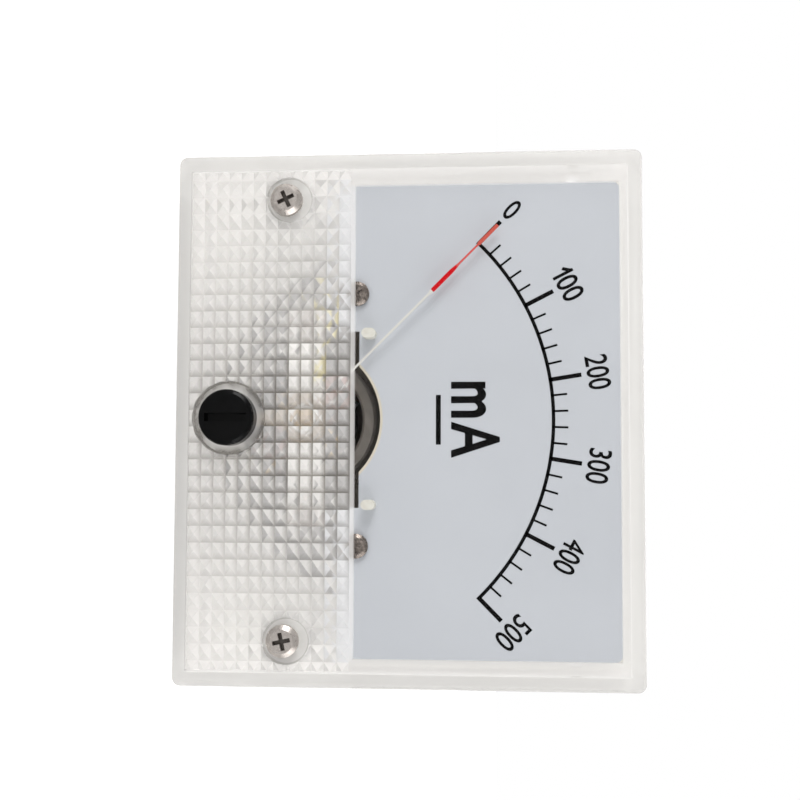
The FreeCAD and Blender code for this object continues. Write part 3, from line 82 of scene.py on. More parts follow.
bpy.ops.mesh.primitive_plane_add(size=BENCH_SIZE, location=(0, 0, cad_box[0][2] - BENCH_GAP))
bench = bpy.context.object
bench.name = "bench"
bench_paint = bpy.data.materials.new("bench_paint")
bench_paint.use_nodes = True
tree = bench_paint.node_tree
paint = tree.nodes["Principled BSDF"]
paint.inputs["Base Color"].default_value = (BENCH_GREY, BENCH_GREY, BENCH_GREY, 1)
paint.inputs["Roughness"].default_value = 0.9
paint.inputs["Specular IOR Level"].default_value = 0.1
lift = tree.nodes.new("ShaderNodeMath")
lift.operation = "MULTIPLY"
lift.inputs[1].default_value = BENCH_LIFT
glow = tree.nodes.new("ShaderNodeEmission")
both = tree.nodes.new("ShaderNodeAddShader")
tree.links.new(seen_directly(tree), lift.inputs[0])
tree.links.new(lift.outputs[0], glow.inputs["Strength"])
tree.links.new(paint.outputs[0], both.inputs[0])
tree.links.new(glow.outputs[0], both.inputs[1])
tree.links.new(both.outputs[0], tree.nodes["Material Output"].inputs["Surface"])
bench.data.materials.append(bench_paint)

sky = bpy.data.worlds.new("sky")
bpy.context.scene.world = sky
sky.use_nodes = True
tree = sky.node_tree
level = tree.nodes.new("ShaderNodeMapRange")
level.inputs["To Min"].default_value = SKY_LEVEL
level.inputs["To Max"].default_value = 1.0
tree.nodes["Background"].inputs["Color"].default_value = (1, 1, 1, 1)
tree.links.new(seen_directly(tree), level.inputs["Value"])
tree.links.new(level.outputs[0], tree.nodes["Background"].inputs["Strength"])

for name, place, size, power in (KEY_LAMP, FILL_LAMP, BACK_LAMP):
    bpy.ops.object.light_add(type="AREA", location=place)
    lamp = bpy.context.object
    lamp.name = name
    lamp.data.size = size
    lamp.data.energy = power
    lamp.rotation_euler = Vector(place).to_track_quat("Z", "Y").to_euler()


# Camera
# It looks along +Y at the front, a little from the right and above.
# It is rolled a quarter turn, so that the meter's top is at the picture's right.

CAMERA_PLACE = Vector((9.118, -168.336, 12.488)) * MM
CAMERA_RIGHT = Vector((-0.00379, 0.08558, 0.99632))
CAMERA_DOWN = Vector((0.99738, 0.07237, -0.00242))
CAMERA_AHEAD = Vector((-0.07231, 0.9937, -0.08563))
CAMERA_SENSOR = 36
CAMERA_LENS = 58.5
CAMERA_CLIP = 10 * MM

bpy.ops.object.camera_add()
camera = bpy.context.object
camera.name = "camera"
camera.data.sensor_width = CAMERA_SENSOR
camera.data.lens = CAMERA_LENS
camera.data.clip_start = CAMERA_CLIP
turn = Matrix((CAMERA_RIGHT, -CAMERA_DOWN, -CAMERA_AHEAD)).transposed()
camera.matrix_world = Matrix.Translation(CAMERA_PLACE) @ turn.to_4x4()
bpy.context.scene.camera = camera
bpy.context.scene.view_settings.view_transform = "Standard"


# Base housing
# One white moulding of flange, locating rim, bosses and barrel.
# It is injection moulded in polystyrene, with a faint satin grain.

NOISE_DETAIL = 2.0
NOISE_LOW, NOISE_HIGH = 0.3, 0.7


def tone(red, green, blue):
    """A colour as it is seen, 0 to 255, as the linear numbers that a shader takes."""
    linear = []
    for value in (red, green, blue):
        share = value / 255
        linear.append(share / 12.92 if share <= 0.04045 else ((share + 0.055) / 1.055) ** 2.4)
    return linear


class Finish:
    """A Principled material that is built up from a few kinds of surface detail."""

    def __init__(self, name, colour, roughness, metallic=0.0):
        self.material = bpy.data.materials.new(name)
        self.material.use_nodes = True
        self.tree = self.material.node_tree
        self.shader = self.tree.nodes["Principled BSDF"]
        self.shader.inputs["Base Color"].default_value = (*colour, 1)
        self.shader.inputs["Roughness"].default_value = roughness
        self.shader.inputs["Metallic"].default_value = metallic

    def node(self, kind, **values):
        """A node with its inputs set by name."""
        made = self.tree.nodes.new(kind)
        for name, value in values.items():
            made.inputs[name.replace("_", " ")].default_value = value
        return made

    def link(self, start, end):
        self.tree.links.new(start, end)

    def clouds(self, grain):
        """Soft noise from 0 to 1 with spots about one grain across."""
        place = self.node("ShaderNodeTexCoord")
        noise = self.node("ShaderNodeTexNoise", Scale=1.0 / grain, Detail=NOISE_DETAIL)
        self.link(place.outputs["Object"], noise.inputs["Vector"])
        return noise.outputs["Fac"]

    def mottle(self, dark, light, grain):
        """Lets the colour wander between two near tones."""
        ramp = self.node("ShaderNodeValToRGB")
        ends = ramp.color_ramp.elements
        ends[0].position, ends[1].position = NOISE_LOW, NOISE_HIGH
        ends[0].color, ends[1].color = (*dark, 1), (*light, 1)
        self.link(self.clouds(grain), ramp.inputs["Fac"])
        self.link(ramp.outputs["Color"], self.shader.inputs["Base Color"])
        return self

    def relief(self, grain, depth):
        """A fine bump of the given depth."""
        bump = self.node("ShaderNodeBump", Distance=depth, Strength=1.0)
        self.link(self.clouds(grain), bump.inputs["Height"])
        self.link(bump.outputs["Normal"], self.shader.inputs["Normal"])
        return self

    def disc(self, x, z, radius, fade):
        """1 inside a radius about a point, seen from the front, with a soft edge."""
        place = self.node("ShaderNodeTexCoord")
        flat = self.node("ShaderNodeMapping", Location=(-x, 0, -z), Scale=(1, 0, 1))
        away = self.node("ShaderNodeVectorMath")
        away.operation = "LENGTH"
        edge = self.node("ShaderNodeMapRange", From_Min=radius + fade, From_Max=radius)
        self.link(place.outputs["Object"], flat.inputs["Vector"])
        self.link(flat.outputs["Vector"], away.inputs[0])
        self.link(away.outputs["Value"], edge.inputs["Value"])
        return edge.outputs[0]

    def deeper(self, start, end):
        """0 in front of one depth, 1 behind the other."""
        place = self.node("ShaderNodeTexCoord")
        split = self.node("ShaderNodeSeparateXYZ")
        depth = self.node("ShaderNodeMapRange", From_Min=start, From_Max=end)
        self.link(place.outputs["Object"], split.inputs["Vector"])
        self.link(split.outputs["Y"], depth.inputs["Value"])
        return depth.outputs[0]

    def paint(self, colour, *masks):
        """Lays another colour where all the masks are 1."""
        mix = self.node("ShaderNodeMix")
        mix.data_type = "RGBA"
        mix.inputs["B"].default_value = (*colour, 1)
        share = masks[0]
        for mask in masks[1:]:
            both = self.node("ShaderNodeMath")
            both.operation = "MULTIPLY"
            self.link(share, both.inputs[0])
            self.link(mask, both.inputs[1])
            share = both.outputs[0]
        self.link(share, mix.inputs["Factor"])
        self.link(self.shader.inputs["Base Color"].links[0].from_socket, mix.inputs["A"])
        self.link(mix.outputs["Result"], self.shader.inputs["Base Color"])
        return self

    def gloss(self, low, high, grain):
        """Roughness that wanders between two values."""
        spread = self.node("ShaderNodeMapRange", From_Min=NOISE_LOW, From_Max=NOISE_HIGH,
                           To_Min=low, To_Max=high)
        self.link(self.clouds(grain), spread.inputs["Value"])
        self.link(spread.outputs[0], self.shader.inputs["Roughness"])
        return self


def dress(finish, *nodes):
    """Gives solids of the frame their finish."""
    for node in nodes:
        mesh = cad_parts[node].data
        mesh.materials.clear()
        mesh.materials.append(finish.material)


white_moulding = Finish("white_moulding", tone(236, 235, 230), 0.42)
white_moulding.mottle(tone(232, 231, 226), tone(240, 239, 235), 9 * MM)
white_moulding.relief(0.35 * MM, 0.006 * MM).gloss(0.36, 0.5, 3 * MM)
dress(white_moulding, "base_housing")


# Polarity signs
# A raised plus and minus beside the two terminals.
# They stand in the barrel's rear face, moulded with it.

SIGN_DROP = 8.5 * MM
SIGN_SPAN = 3.6 * MM
SIGN_BAR = 0.8 * MM
SIGN_RISE = 0.35 * MM
SIGN_BEVEL = 0.1 * MM
SIGN_STEP = 0.02 * MM


def only(piece):
    """Makes one piece the only one selected."""
    bpy.ops.object.select_all(action="DESELECT")
    piece.select_set(True)
    bpy.context.view_layer.objects.active = piece


def settle(piece):
    """Puts a piece's place into its mesh."""
    only(piece)
    bpy.ops.object.transform_apply(location=True, rotation=True, scale=True)


def bar(name, place, size, angle=0.0, bevel=0.0):
    """A flat bar with rounded corners; its size is across, thick and up, before its turn about Y."""
    bpy.ops.object.select_all(action="DESELECT")
    bpy.ops.mesh.primitive_cube_add(size=1, location=place, rotation=(0, angle, 0), scale=size)
    piece = bpy.context.object
    piece.name = name
    settle(piece)
    if bevel:
        bpy.ops.object.mode_set(mode="EDIT")
        bpy.ops.mesh.select_all(action="SELECT")
        bpy.ops.mesh.bevel(offset=bevel, segments=2, affect="EDGES")
        bpy.ops.object.mode_set(mode="OBJECT")
    return piece


def copy_to(piece, name, place, angle=0.0):
    """A copy of a piece with a mesh of its own, turned about Y at the origin and then moved."""
    made = piece.copy()
    made.data = piece.data.copy()
    made.name = name
    bpy.context.scene.collection.objects.link(made)
    made.rotation_euler = (0, angle, 0)
    made.location = place
    settle(made)
    return made


def pick(piece, wanted):
    """Selects the points of a piece that pass a test, for the next edit."""
    only(piece)
    bpy.ops.object.mode_set(mode="EDIT")
    bpy.ops.mesh.select_mode(type="VERT")
    bpy.ops.mesh.select_all(action="DESELECT")
    bpy.ops.object.mode_set(mode="OBJECT")
    for vertex in piece.data.vertices:
        vertex.select = wanted(vertex.co)


def join(pieces):
    """Makes several pieces one."""
    only(pieces[0])
    for piece in pieces:
        piece.select_set(True)
    bpy.ops.object.join()
    return pieces[0]


def fit(piece, finish, body):
    """Gives a new piece its finish and the body it rides on."""
    piece.data.materials.clear()
    piece.data.materials.append(finish.material)
    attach(piece, body)


barrel_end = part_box("base_housing")[1].y
level_bar = bar("level_bar", (0, 0, 0), (SIGN_SPAN, 2 * SIGN_RISE, SIGN_BAR), bevel=SIGN_BEVEL)
for terminal in ("positive", "negative"):
    low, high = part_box(f"terminal_stud_{terminal}")
    centre = Vector(((low.x + high.x) / 2, barrel_end, -SIGN_DROP))
    sign = copy_to(level_bar, f"sign_{terminal}", centre)
    if terminal == "positive":
        size = (SIGN_BAR, 2 * SIGN_RISE - SIGN_STEP, SIGN_SPAN)
        sign = join([sign, bar("upright_bar", centre, size, bevel=SIGN_BEVEL)])
    fit(sign, white_moulding, "case")
bpy.data.objects.remove(level_bar)


# Movement frame
# A grey moulding: a plate with a cup for the ring, pillars for the bridge and posts for the dial.
# Two screws hold it on bosses of the barrel's floor.

frame_moulding = Finish("frame_moulding", tone(148, 142, 134), 0.55)
frame_moulding.mottle(tone(142, 136, 128), tone(154, 148, 140), 4 * MM)
frame_moulding.relief(0.3 * MM, 0.006 * MM)
dress(frame_moulding, "movement_frame")


# Ring and magnet
# A soft iron ring in the frame's cup and a round magnet inside it, held by two brass spacers.
# The iron is turned and dull, the magnet is ground and left dark.

ring_steel = Finish("ring_steel", tone(122, 118, 113), 0.45, 0.35)
ring_steel.mottle(tone(112, 108, 103), tone(131, 127, 122), 1.5 * MM).relief(0.15 * MM, 0.004 * MM)
dress(ring_steel, "steel_ring")
magnet = Finish("magnet", tone(86, 84, 82), 0.4, 0.6)
magnet.mottle(tone(76, 74, 72), tone(96, 94, 92), 0.8 * MM).gloss(0.32, 0.5, 0.6 * MM)
dress(magnet, "magnet_core")
spacer_brass = Finish("spacer_brass", tone(206, 176, 108), 0.35, 1.0)
spacer_brass.mottle(tone(196, 164, 98), tone(214, 186, 120), 0.8 * MM)
dress(spacer_brass, "core_spacer_left", "core_spacer_right")


# Coil
# Fine enamelled copper wire on a strip aluminium former, with a steel pivot at each end.
# A stamped cross with three small weights balances it, and the weights are brass.

TURN_PITCH = 0.55 * MM
TURN_DEPTH = 0.03 * MM

coil_strip = Finish("coil_strip", tone(206, 206, 208), 0.34, 1.0).gloss(0.28, 0.42, 0.5 * MM)
dress(coil_strip, "coil_former")
coil_copper = Finish("coil_copper", tone(150, 84, 56), 0.35, 0.7)
coil_copper.mottle(tone(132, 68, 44), tone(170, 98, 66), 0.4 * MM)
turns = coil_copper.node("ShaderNodeTexWave", Scale=1.0 / TURN_PITCH)
turns.bands_direction = "DIAGONAL"
turn_bump = coil_copper.node("ShaderNodeBump", Distance=TURN_DEPTH)
coil_place = coil_copper.node("ShaderNodeTexCoord")
coil_copper.link(coil_place.outputs["Object"], turns.inputs["Vector"])
coil_copper.link(turns.outputs["Fac"], turn_bump.inputs["Height"])
coil_copper.link(turn_bump.outputs["Normal"], coil_copper.shader.inputs["Normal"])
dress(coil_copper, "coil_winding")
pivot_steel = Finish("pivot_steel", tone(196, 196, 198), 0.18, 1.0).gloss(0.12, 0.24, 0.3 * MM)
dress(pivot_steel, "pivot_front", "pivot_rear")
balance_metal = Finish("balance_metal", tone(214, 214, 213), 0.32, 1.0)
balance_metal.mottle(tone(206, 206, 205), tone(220, 220, 219), 0.6 * MM).gloss(0.26, 0.4, 0.5 * MM)
dress(balance_metal, "balance_cross")
weight_brass = Finish("weight_brass", tone(204, 172, 104), 0.3, 1.0).gloss(0.22, 0.38, 0.3 * MM)
dress(weight_brass, "balance_weight_left", "balance_weight_right", "balance_weight_tail")


# Hairsprings
# Flat spirals of phosphor bronze strip, one at each end of the coil, which also feed its current.
# The rear one ends at a bronze tag.

spring_bronze = Finish("spring_bronze", tone(204, 158, 108), 0.28, 1.0)
spring_bronze.mottle(tone(194, 146, 96), tone(212, 168, 120), 0.6 * MM).gloss(0.2, 0.34, 0.4 * MM)
dress(spring_bronze, "hairspring_front", "hairspring_rear", "rear_spring_tag")


# Bridge and jewels
# A die-cast bridge, screwed to the frame's two pillars, carries the front jewel screw.
# The rear one is in the frame. Both are brass, with a cupped jewel set in the end.

bridge_metal = Finish("bridge_metal", tone(228, 227, 222), 0.42, 0.25)
bridge_metal.mottle(tone(220, 219, 214), tone(234, 233, 229), 2 * MM).relief(0.2 * MM, 0.004 * MM)
dress(bridge_metal, "front_bridge")
jewel_brass = Finish("jewel_brass", tone(210, 180, 112), 0.3, 1.0)
jewel_brass.mottle(tone(200, 168, 102), tone(218, 190, 124), 0.6 * MM).gloss(0.22, 0.38, 0.4 * MM)
dress(jewel_brass, "jewel_screw_front", "jewel_screw_rear")


# Screws
# Small cross-recess screws with pan heads, in steel with a dull zinc coat.
# The two in the dial are a darker steel. Painted shade darkens the crosses of the two in the cover.

CROSS_RADIUS = 1.2 * MM
CROSS_FADE = 0.05 * MM
CROSS_LIP, CROSS_SHADE, CROSS_END = 0.5 * MM, 0.75 * MM, 2.0 * MM

screw_steel = Finish("screw_steel", tone(194, 186, 180), 0.3, 0.9)
screw_steel.mottle(tone(184, 176, 170), tone(204, 197, 191), 0.5 * MM).gloss(0.24, 0.38, 0.4 * MM)
for side in ("left", "right"):
    low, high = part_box(f"cover_screw_{side}")
    recess = screw_steel.disc((low.x + high.x) / 2, (low.z + high.z) / 2, CROSS_RADIUS, CROSS_FADE)
    below_lip = screw_steel.deeper(low.y + CROSS_LIP, low.y + CROSS_SHADE)
    in_head = screw_steel.deeper(low.y + CROSS_END + CROSS_FADE, low.y + CROSS_END)
    # Painted shade: each cover screw's cross recess is coloured dark below its lip, inside the head.
    screw_steel.paint(tone(44, 38, 34), recess, below_lip, in_head)
dress(screw_steel, "cover_screw_left", "cover_screw_right", "frame_screw_left", "frame_screw_right",
      "bridge_screw_left", "bridge_screw_right")
dark_steel = Finish("dark_steel", tone(112, 105, 100), 0.24, 1.0)
dark_steel.mottle(tone(92, 86, 82), tone(134, 127, 122), 0.4 * MM).gloss(0.16, 0.34, 0.4 * MM)
dress(dark_steel, "dial_screw_left", "dial_screw_right")


# Dial plate
# Thin stamped sheet with a pale blue-grey coat, screwed to the frame's two posts.
# It is cut away over the movement, and the cut edge shows cream.

ARCH_MIDDLE = -12.7 * MM
ARCH_RADIUS, ARCH_FADE = 9.44 * MM, 0.1 * MM

dial_coat = Finish("dial_coat", tone(200, 205, 212), 0.6)
dial_coat.mottle(tone(198, 203, 210), tone(202, 207, 214), 14 * MM).relief(0.2 * MM, 0.0015 * MM)
dial_coat.paint(tone(216, 209, 192), dial_coat.disc(0, ARCH_MIDDLE, ARCH_RADIUS, ARCH_FADE))
dress(dial_coat, "dial_plate")


# Scale
# One arc of twenty-five parts from 0 to 500, with a long mark and a number at every fifth.
# It is screen printed in black on the dial.

SCALE_CENTRE = -12.7 * MM
SCALE_RADIUS = 30.21 * MM
SCALE_SWEEP = math.radians(90.8)
SCALE_LINE = 0.42 * MM
SCALE_PARTS = 25
PARTS_A_NUMBER = 5
VALUE_A_PART = 20
LONG_MARK = Vector((0.52, 4.0)) * MM
SHORT_MARK = Vector((0.25, 2.0)) * MM
INK_RISE = 0.02 * MM
INK_BEVEL = 0.01 * MM
ARC_SLICE = 0.01 * MM
ARC_STEPS = 100
ARC_MERGE = 1e-7

dial_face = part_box("dial_plate")[0].y
scale_axis = Vector((0, dial_face, SCALE_CENTRE))
ink = Finish("printing_ink", tone(8, 8, 9), 0.6).mottle(tone(5, 5, 6), tone(12, 12, 13), 0.6 * MM)
ink.shader.inputs["Specular IOR Level"].default_value = 0.05


def about_axis(radius, angle):
    """The point on the dial's face at a radius from the scale's centre, the angle from upright."""
    return scale_axis + Vector((math.sin(angle) * radius, 0, math.cos(angle) * radius))


def mark_angle(part):
    """A mark's angle from upright, for a part of the scale counted from its left end."""
    return SCALE_SWEEP * (part / SCALE_PARTS - 0.5)


start_angle = mark_angle(0)
arc_start = about_axis(SCALE_RADIUS, start_angle)
scale_arc = bar("scale_arc", arc_start, (ARC_SLICE, 2 * INK_RISE, SCALE_LINE), start_angle)
onwards = Vector((math.cos(start_angle), 0, -math.sin(start_angle)))
pick(scale_arc, lambda point: (point - arc_start).dot(onwards) > 0)
bpy.ops.object.mode_set(mode="EDIT")
bpy.ops.mesh.spin(steps=ARC_STEPS, angle=-SCALE_SWEEP, center=scale_axis, axis=(0, 1, 0))
bpy.ops.mesh.select_all(action="SELECT")
bpy.ops.mesh.remove_doubles(threshold=ARC_MERGE)
bpy.ops.mesh.normals_make_consistent(inside=False)
bpy.ops.object.mode_set(mode="OBJECT")
fit(scale_arc, ink, "case")

numbered = [part for part in range(SCALE_PARTS + 1) if part % PARTS_A_NUMBER == 0]
between = [part for part in range(SCALE_PARTS + 1) if part % PARTS_A_NUMBER]
for name, mark, parts in (("long_marks", LONG_MARK, numbered), ("short_marks", SHORT_MARK, between)):
    middle = (0, 0, SCALE_RADIUS - SCALE_LINE / 2 + mark.y / 2)
    upright = bar("upright_mark", middle, (mark.x, 2 * INK_RISE, mark.y), bevel=INK_BEVEL)
    marks = join([copy_to(upright, f"mark_{part}", scale_axis, mark_angle(part)) for part in parts])
    marks.name = name
    fit(marks, ink, "case")
    bpy.data.objects.remove(upright)


# Numbers and unit
# Plain sans figures outside the scale, each turned with its mark, and the unit over a short bar.
# They are printed with the scale.

NUMBER_RADIUS = 36.0 * MM
NUMBER_HEIGHT = 2.75 * MM
FIGURE_WIDTHS = {1: 1.3 * MM, 3: 4.15 * MM}
UNIT_LETTERS = (("m", -2.36 * MM, 4.38 * MM, 4.26 * MM), ("A", 2.5 * MM, 4.38 * MM, 5.91 * MM))
UNIT_FOOT = 5.14 * MM
UNIT_BAR = (6.05 * MM, 0.6 * MM)
UNIT_BAR_PLACE = Vector((0.07, 0, 3.6)) * MM
LETTER_CURVE_STEPS = 6
# These are in the typeface's own units, from before the letters get their size.
LETTER_DEPTH = 1.0
LETTER_MERGE = 1e-4
FIGURE_WEIGHT = 0.01
UNIT_WEIGHT = 0.024
# These are shares of the figures' height, and the drop is one of the stroke's width.
ONE_ENDS = 0.2
ONE_SHIFT = 0.2
FLAG_REACH = 0.22
FLAG_DROP = 0.7
FLAG_TURN = math.radians(-45)


def extent(piece):
    """The lowest and highest place of a piece's points on each axis."""
    places = [vertex.co for vertex in piece.data.vertices]
    return ([min(place[axis] for place in places) for axis in range(3)],
            [max(place[axis] for place in places) for axis in range(3)])


def flag_the_one(words):
    """Moves a leading 1 nearer to its neighbour and adds the flag that this typeface lacks."""
    low, high = extent(words)
    height = high[2] - low[2]
    edge = low[0] + ONE_ENDS * height
    stem = [vertex.co.x for vertex in words.data.vertices if vertex.co.x < edge]
    stroke = max(stem) - min(stem)
    pick(words, lambda point: point.x < edge)
    bpy.ops.object.mode_set(mode="EDIT")
    bpy.ops.transform.translate(value=(ONE_SHIFT * height, 0, 0))
    bpy.ops.object.mode_set(mode="OBJECT")
    top = Vector(((min(stem) + max(stem)) / 2 + ONE_SHIFT * height, 0, high[2] - FLAG_DROP * stroke))
    foot = top - Vector((FLAG_REACH * height + stroke / 2, 0, FLAG_REACH * height + stroke / 2))
    flag = bar("flag", (top + foot) / 2, ((top - foot).length, LETTER_DEPTH, stroke), FLAG_TURN)
    return join([words, flag])


def lettering(name, text, height, width, middle, angle=0.0, weight=0.0):
    """Letters of a given height and width about a point of the dial, turned about Y."""
    bpy.ops.object.select_all(action="DESELECT")
    bpy.ops.object.text_add(rotation=(math.radians(90), 0, 0))
    words = bpy.context.object
    words.name = name
    words.data.body = text
    words.data.extrude = LETTER_DEPTH / 2
    words.data.resolution_u = LETTER_CURVE_STEPS
    bpy.ops.object.convert(target="MESH")
    bpy.ops.object.mode_set(mode="EDIT")
    bpy.ops.mesh.select_all(action="SELECT")
    bpy.ops.mesh.remove_doubles(threshold=LETTER_MERGE)
    bpy.ops.mesh.normals_make_consistent(inside=False)
    bpy.ops.transform.shrink_fatten(value=weight, use_even_offset=True)
    bpy.ops.object.mode_set(mode="OBJECT")
    settle(words)
    if text.startswith("1"):
        words = flag_the_one(words)
    low, high = extent(words)
    span = [high[axis] - low[axis] for axis in range(3)]
    words.scale = (width / span[0], 2 * INK_RISE / span[1], height / span[2])
    words.location = [-(high[axis] + low[axis]) / 2 * words.scale[axis] for axis in range(3)]
    settle(words)
    words.rotation_euler = (0, angle, 0)
    words.location = middle
    settle(words)
    fit(words, ink, "case")


for part in numbered:
    figures = str(part * VALUE_A_PART)
    lettering(f"number_{figures}", figures, NUMBER_HEIGHT, FIGURE_WIDTHS[len(figures)],
              about_axis(NUMBER_RADIUS, mark_angle(part)), mark_angle(part), FIGURE_WEIGHT)
for letter, x, width, height in UNIT_LETTERS:
    lettering(f"unit_{letter}", letter, height, width,
              (x, dial_face, UNIT_FOOT + height / 2), weight=UNIT_WEIGHT)
unit_bar = bar("unit_bar", UNIT_BAR_PLACE + Vector((0, dial_face, 0)),
               (UNIT_BAR[0], 2 * INK_RISE, UNIT_BAR[1]), bevel=INK_BEVEL)
fit(unit_bar, ink, "case")


# Pointer stops
# Two short pins in the dial under soft cream rubber sleeves.
# They catch the pointer a little past each end of the scale.

cream_rubber = Finish("cream_rubber", tone(224, 223, 214), 0.6)
cream_rubber.mottle(tone(217, 215, 205), tone(230, 230, 222), 0.7 * MM).relief(0.2 * MM, 0.004 * MM)
dress(cream_rubber, "pointer_stop_left", "pointer_stop_right")


# Pointer
# A fine aluminium blade, bare near the coil, then bright red from the lance to a lighter tip.
# The red is dipped on, and its bands lie at right angles to the blade.

POINTER_ANGLE = math.radians(-45)
BARE_TONE = (220, 220, 215)
RED_STARTS, RED_TONE = 21.9 * MM, (206, 10, 22)
NECK_STARTS, NECK_TONE = 26.1 * MM, (214, 92, 88)
TIP_STARTS, TIP_TONE = 29.6 * MM, (204, 92, 80)
POINTER_END = 40 * MM

pointer_paint = Finish("pointer_paint", tone(*BARE_TONE), 0.38)
pointer_paint.shader.inputs["Specular IOR Level"].default_value = 0.12
pointer_way = Vector((math.sin(POINTER_ANGLE), 0, math.cos(POINTER_ANGLE)))
place = pointer_paint.node("ShaderNodeTexCoord")
along = pointer_paint.node("ShaderNodeVectorMath")
along.operation = "DOT_PRODUCT"
along.inputs[1].default_value = pointer_way
reach = pointer_paint.node("ShaderNodeMapRange", From_Min=scale_axis.dot(pointer_way),
                           From_Max=scale_axis.dot(pointer_way) + POINTER_END)
bands = pointer_paint.node("ShaderNodeValToRGB")
bands.color_ramp.interpolation = "CONSTANT"
bands.color_ramp.elements[0].color = (*tone(*BARE_TONE), 1)
for start, colour in ((RED_STARTS, RED_TONE), (NECK_STARTS, NECK_TONE), (TIP_STARTS, TIP_TONE)):
    stop = bands.color_ramp.elements.new(start / POINTER_END)
    stop.color = (*tone(*colour), 1)
bands.color_ramp.elements[-1].color = (*tone(*TIP_TONE), 1)
pointer_paint.link(place.outputs["Object"], along.inputs[0])
pointer_paint.link(along.outputs["Value"], reach.inputs["Value"])
pointer_paint.link(reach.outputs[0], bands.inputs["Fac"])
pointer_paint.link(bands.outputs["Color"], pointer_paint.shader.inputs["Base Color"])
dress(pointer_paint, "pointer")


# Leads and shunt
# Thin yellow insulated wires run from the two hairsprings to the terminals.
# A notched strip of resistance alloy joins the terminal heads inside the barrel.

yellow_wire = Finish("yellow_wire", tone(232, 216, 110), 0.5)
yellow_wire.mottle(tone(226, 208, 98), tone(238, 224, 126), 1.5 * MM)
dress(yellow_wire, "lead_positive", "lead_negative")
shunt_alloy = Finish("shunt_alloy", tone(172, 132, 100), 0.4, 0.9)
shunt_alloy.mottle(tone(158, 118, 88), tone(184, 144, 110), 1.5 * MM).gloss(0.32, 0.48, 0.8 * MM)
dress(shunt_alloy, "shunt_strip")


# Front cover
# One clear styrene moulding: a polished window above, a pyramid panel below, and ribs and bosses inside.
# The window is clear; the rest is a little milky. Lamps shine straight through it.
# Its colour holds painted shade in the pyramids' valleys and rings, and a painted reflection of the
# knob.

PANE_LOW, PANE_HIGH = Vector((-28.2, 0, -6.3)) * MM, Vector((28.6, 0, 25.3)) * MM
PANEL_LOW, PANEL_HIGH = Vector((-30.2, 0, -26.5)) * MM, Vector((30.2, 0, 26.2)) * MM
CLEAR_SHARE = {"rim": 0.55, "panel": 0.68, "pane": 1.0}
COVER_ROUGHNESS = {"rim": 0.12, "panel": 0.13, "pane": 0.01}
LIGHT_SHARE = {"rim": 0.93, "panel": 1.0, "pane": 0.97}
COVER_IOR = 1.5
COVER_SHEEN = 0.06
CLEAR_TONE, SHADE_TONE = (250, 248, 246), (112, 106, 98)
RIPPLE_GRAIN, RIPPLE_DEPTH = 2.5 * MM, 0.002 * MM
# Each recess has its x and z, its radius, and the width and the depth of tone of its ring of painted
# shade.
KNOB_RECESS = (0.0, -21.6 * MM, 4.48 * MM, 0.24 * MM, 0.75)
SCREW_RECESSES = ((-26.6 * MM, -14.38 * MM, 2.8 * MM, 0.2 * MM, 0.3),
                  (26.6 * MM, -14.38 * MM, 2.8 * MM, 0.2 * MM, 0.3))
# The painted reflection of the black knob in its recess wall: where it starts and ends, its spots, its
# depth.
KNOB_REFLECTION_STARTS, KNOB_REFLECTION_ENDS = 3.3 * MM, 4.1 * MM
KNOB_REFLECTION_GRAIN = 2.4 * MM
KNOB_REFLECTION_LEAST, KNOB_REFLECTION_MOST = 0.25, 0.75
SPOTS_LOW, SPOTS_HIGH = 0.4, 0.6
CELLS_LOW, CELLS_HIGH = Vector((-30, 0, -26.4)) * MM, Vector((30, 0, -6.77)) * MM
CELL_START = Vector((-1, 0, -26.4)) * MM
CELL_PITCH = Vector((2.0, 0, 1.51)) * MM
CELL_BACK = -13.4 * MM
CELL_SHADE_STARTS = 0.55
SHADE_MIDDLE = (1.0 * MM, -11.0 * MM)
SHADE_INNER, SHADE_OUTER = 7 * MM, 26 * MM

clear_cover = Finish("clear_cover", tone(*CLEAR_TONE), COVER_ROUGHNESS["pane"])
clear_cover.shader.inputs["IOR"].default_value = COVER_IOR
clear_cover.shader.inputs["Specular Tint"].default_value = (COVER_SHEEN, COVER_SHEEN, COVER_SHEEN, 1)
place = clear_cover.node("ShaderNodeTexCoord")
split = clear_cover.node("ShaderNodeSeparateXYZ")
clear_cover.link(place.outputs["Object"], split.inputs["Vector"])


def work(operation, *terms):
    """A Math node on numbers and on outputs of other nodes."""
    made = clear_cover.node("ShaderNodeMath")
    made.operation = operation
    for term, socket in zip(terms, made.inputs):
        if isinstance(term, float):
            socket.default_value = term
        else:
            clear_cover.link(term, socket)
    return made.outputs[0]


def within(low, high):
    """1 where the place is inside a box, seen from the front."""
    inside = work("MULTIPLY", work("GREATER_THAN", split.outputs["X"], low.x),
                  work("LESS_THAN", split.outputs["X"], high.x))
    inside = work("MULTIPLY", inside, work("GREATER_THAN", split.outputs["Z"], low.z))
    return work("MULTIPLY", inside, work("LESS_THAN", split.outputs["Z"], high.z))


pane = within(PANE_LOW, PANE_HIGH)
panel = work("SUBTRACT", within(PANEL_LOW, PANEL_HIGH), pane)


def by_zone(values):
    """A value for the rim, the panel and the pane."""
    value = work("MULTIPLY_ADD", panel, values["panel"] - values["rim"], values["rim"])
    return work("MULTIPLY_ADD", pane, values["pane"] - values["rim"], value)


def distance(x, z):
    """How far the place is from a point, seen from the front."""
    across = work("POWER", work("SUBTRACT", split.outputs["X"], x), 2.0)
    upward = work("POWER", work("SUBTRACT", split.outputs["Z"], z), 2.0)
    return work("SQRT", work("ADD", across, upward))


def rise(value, start, end):
    """0 up to the start, 1 from the end on, even between them."""
    spread = clear_cover.node("ShaderNodeMapRange", From_Min=start, From_Max=end)
    clear_cover.link(value, spread.inputs["Value"])
    return spread.outputs[0]
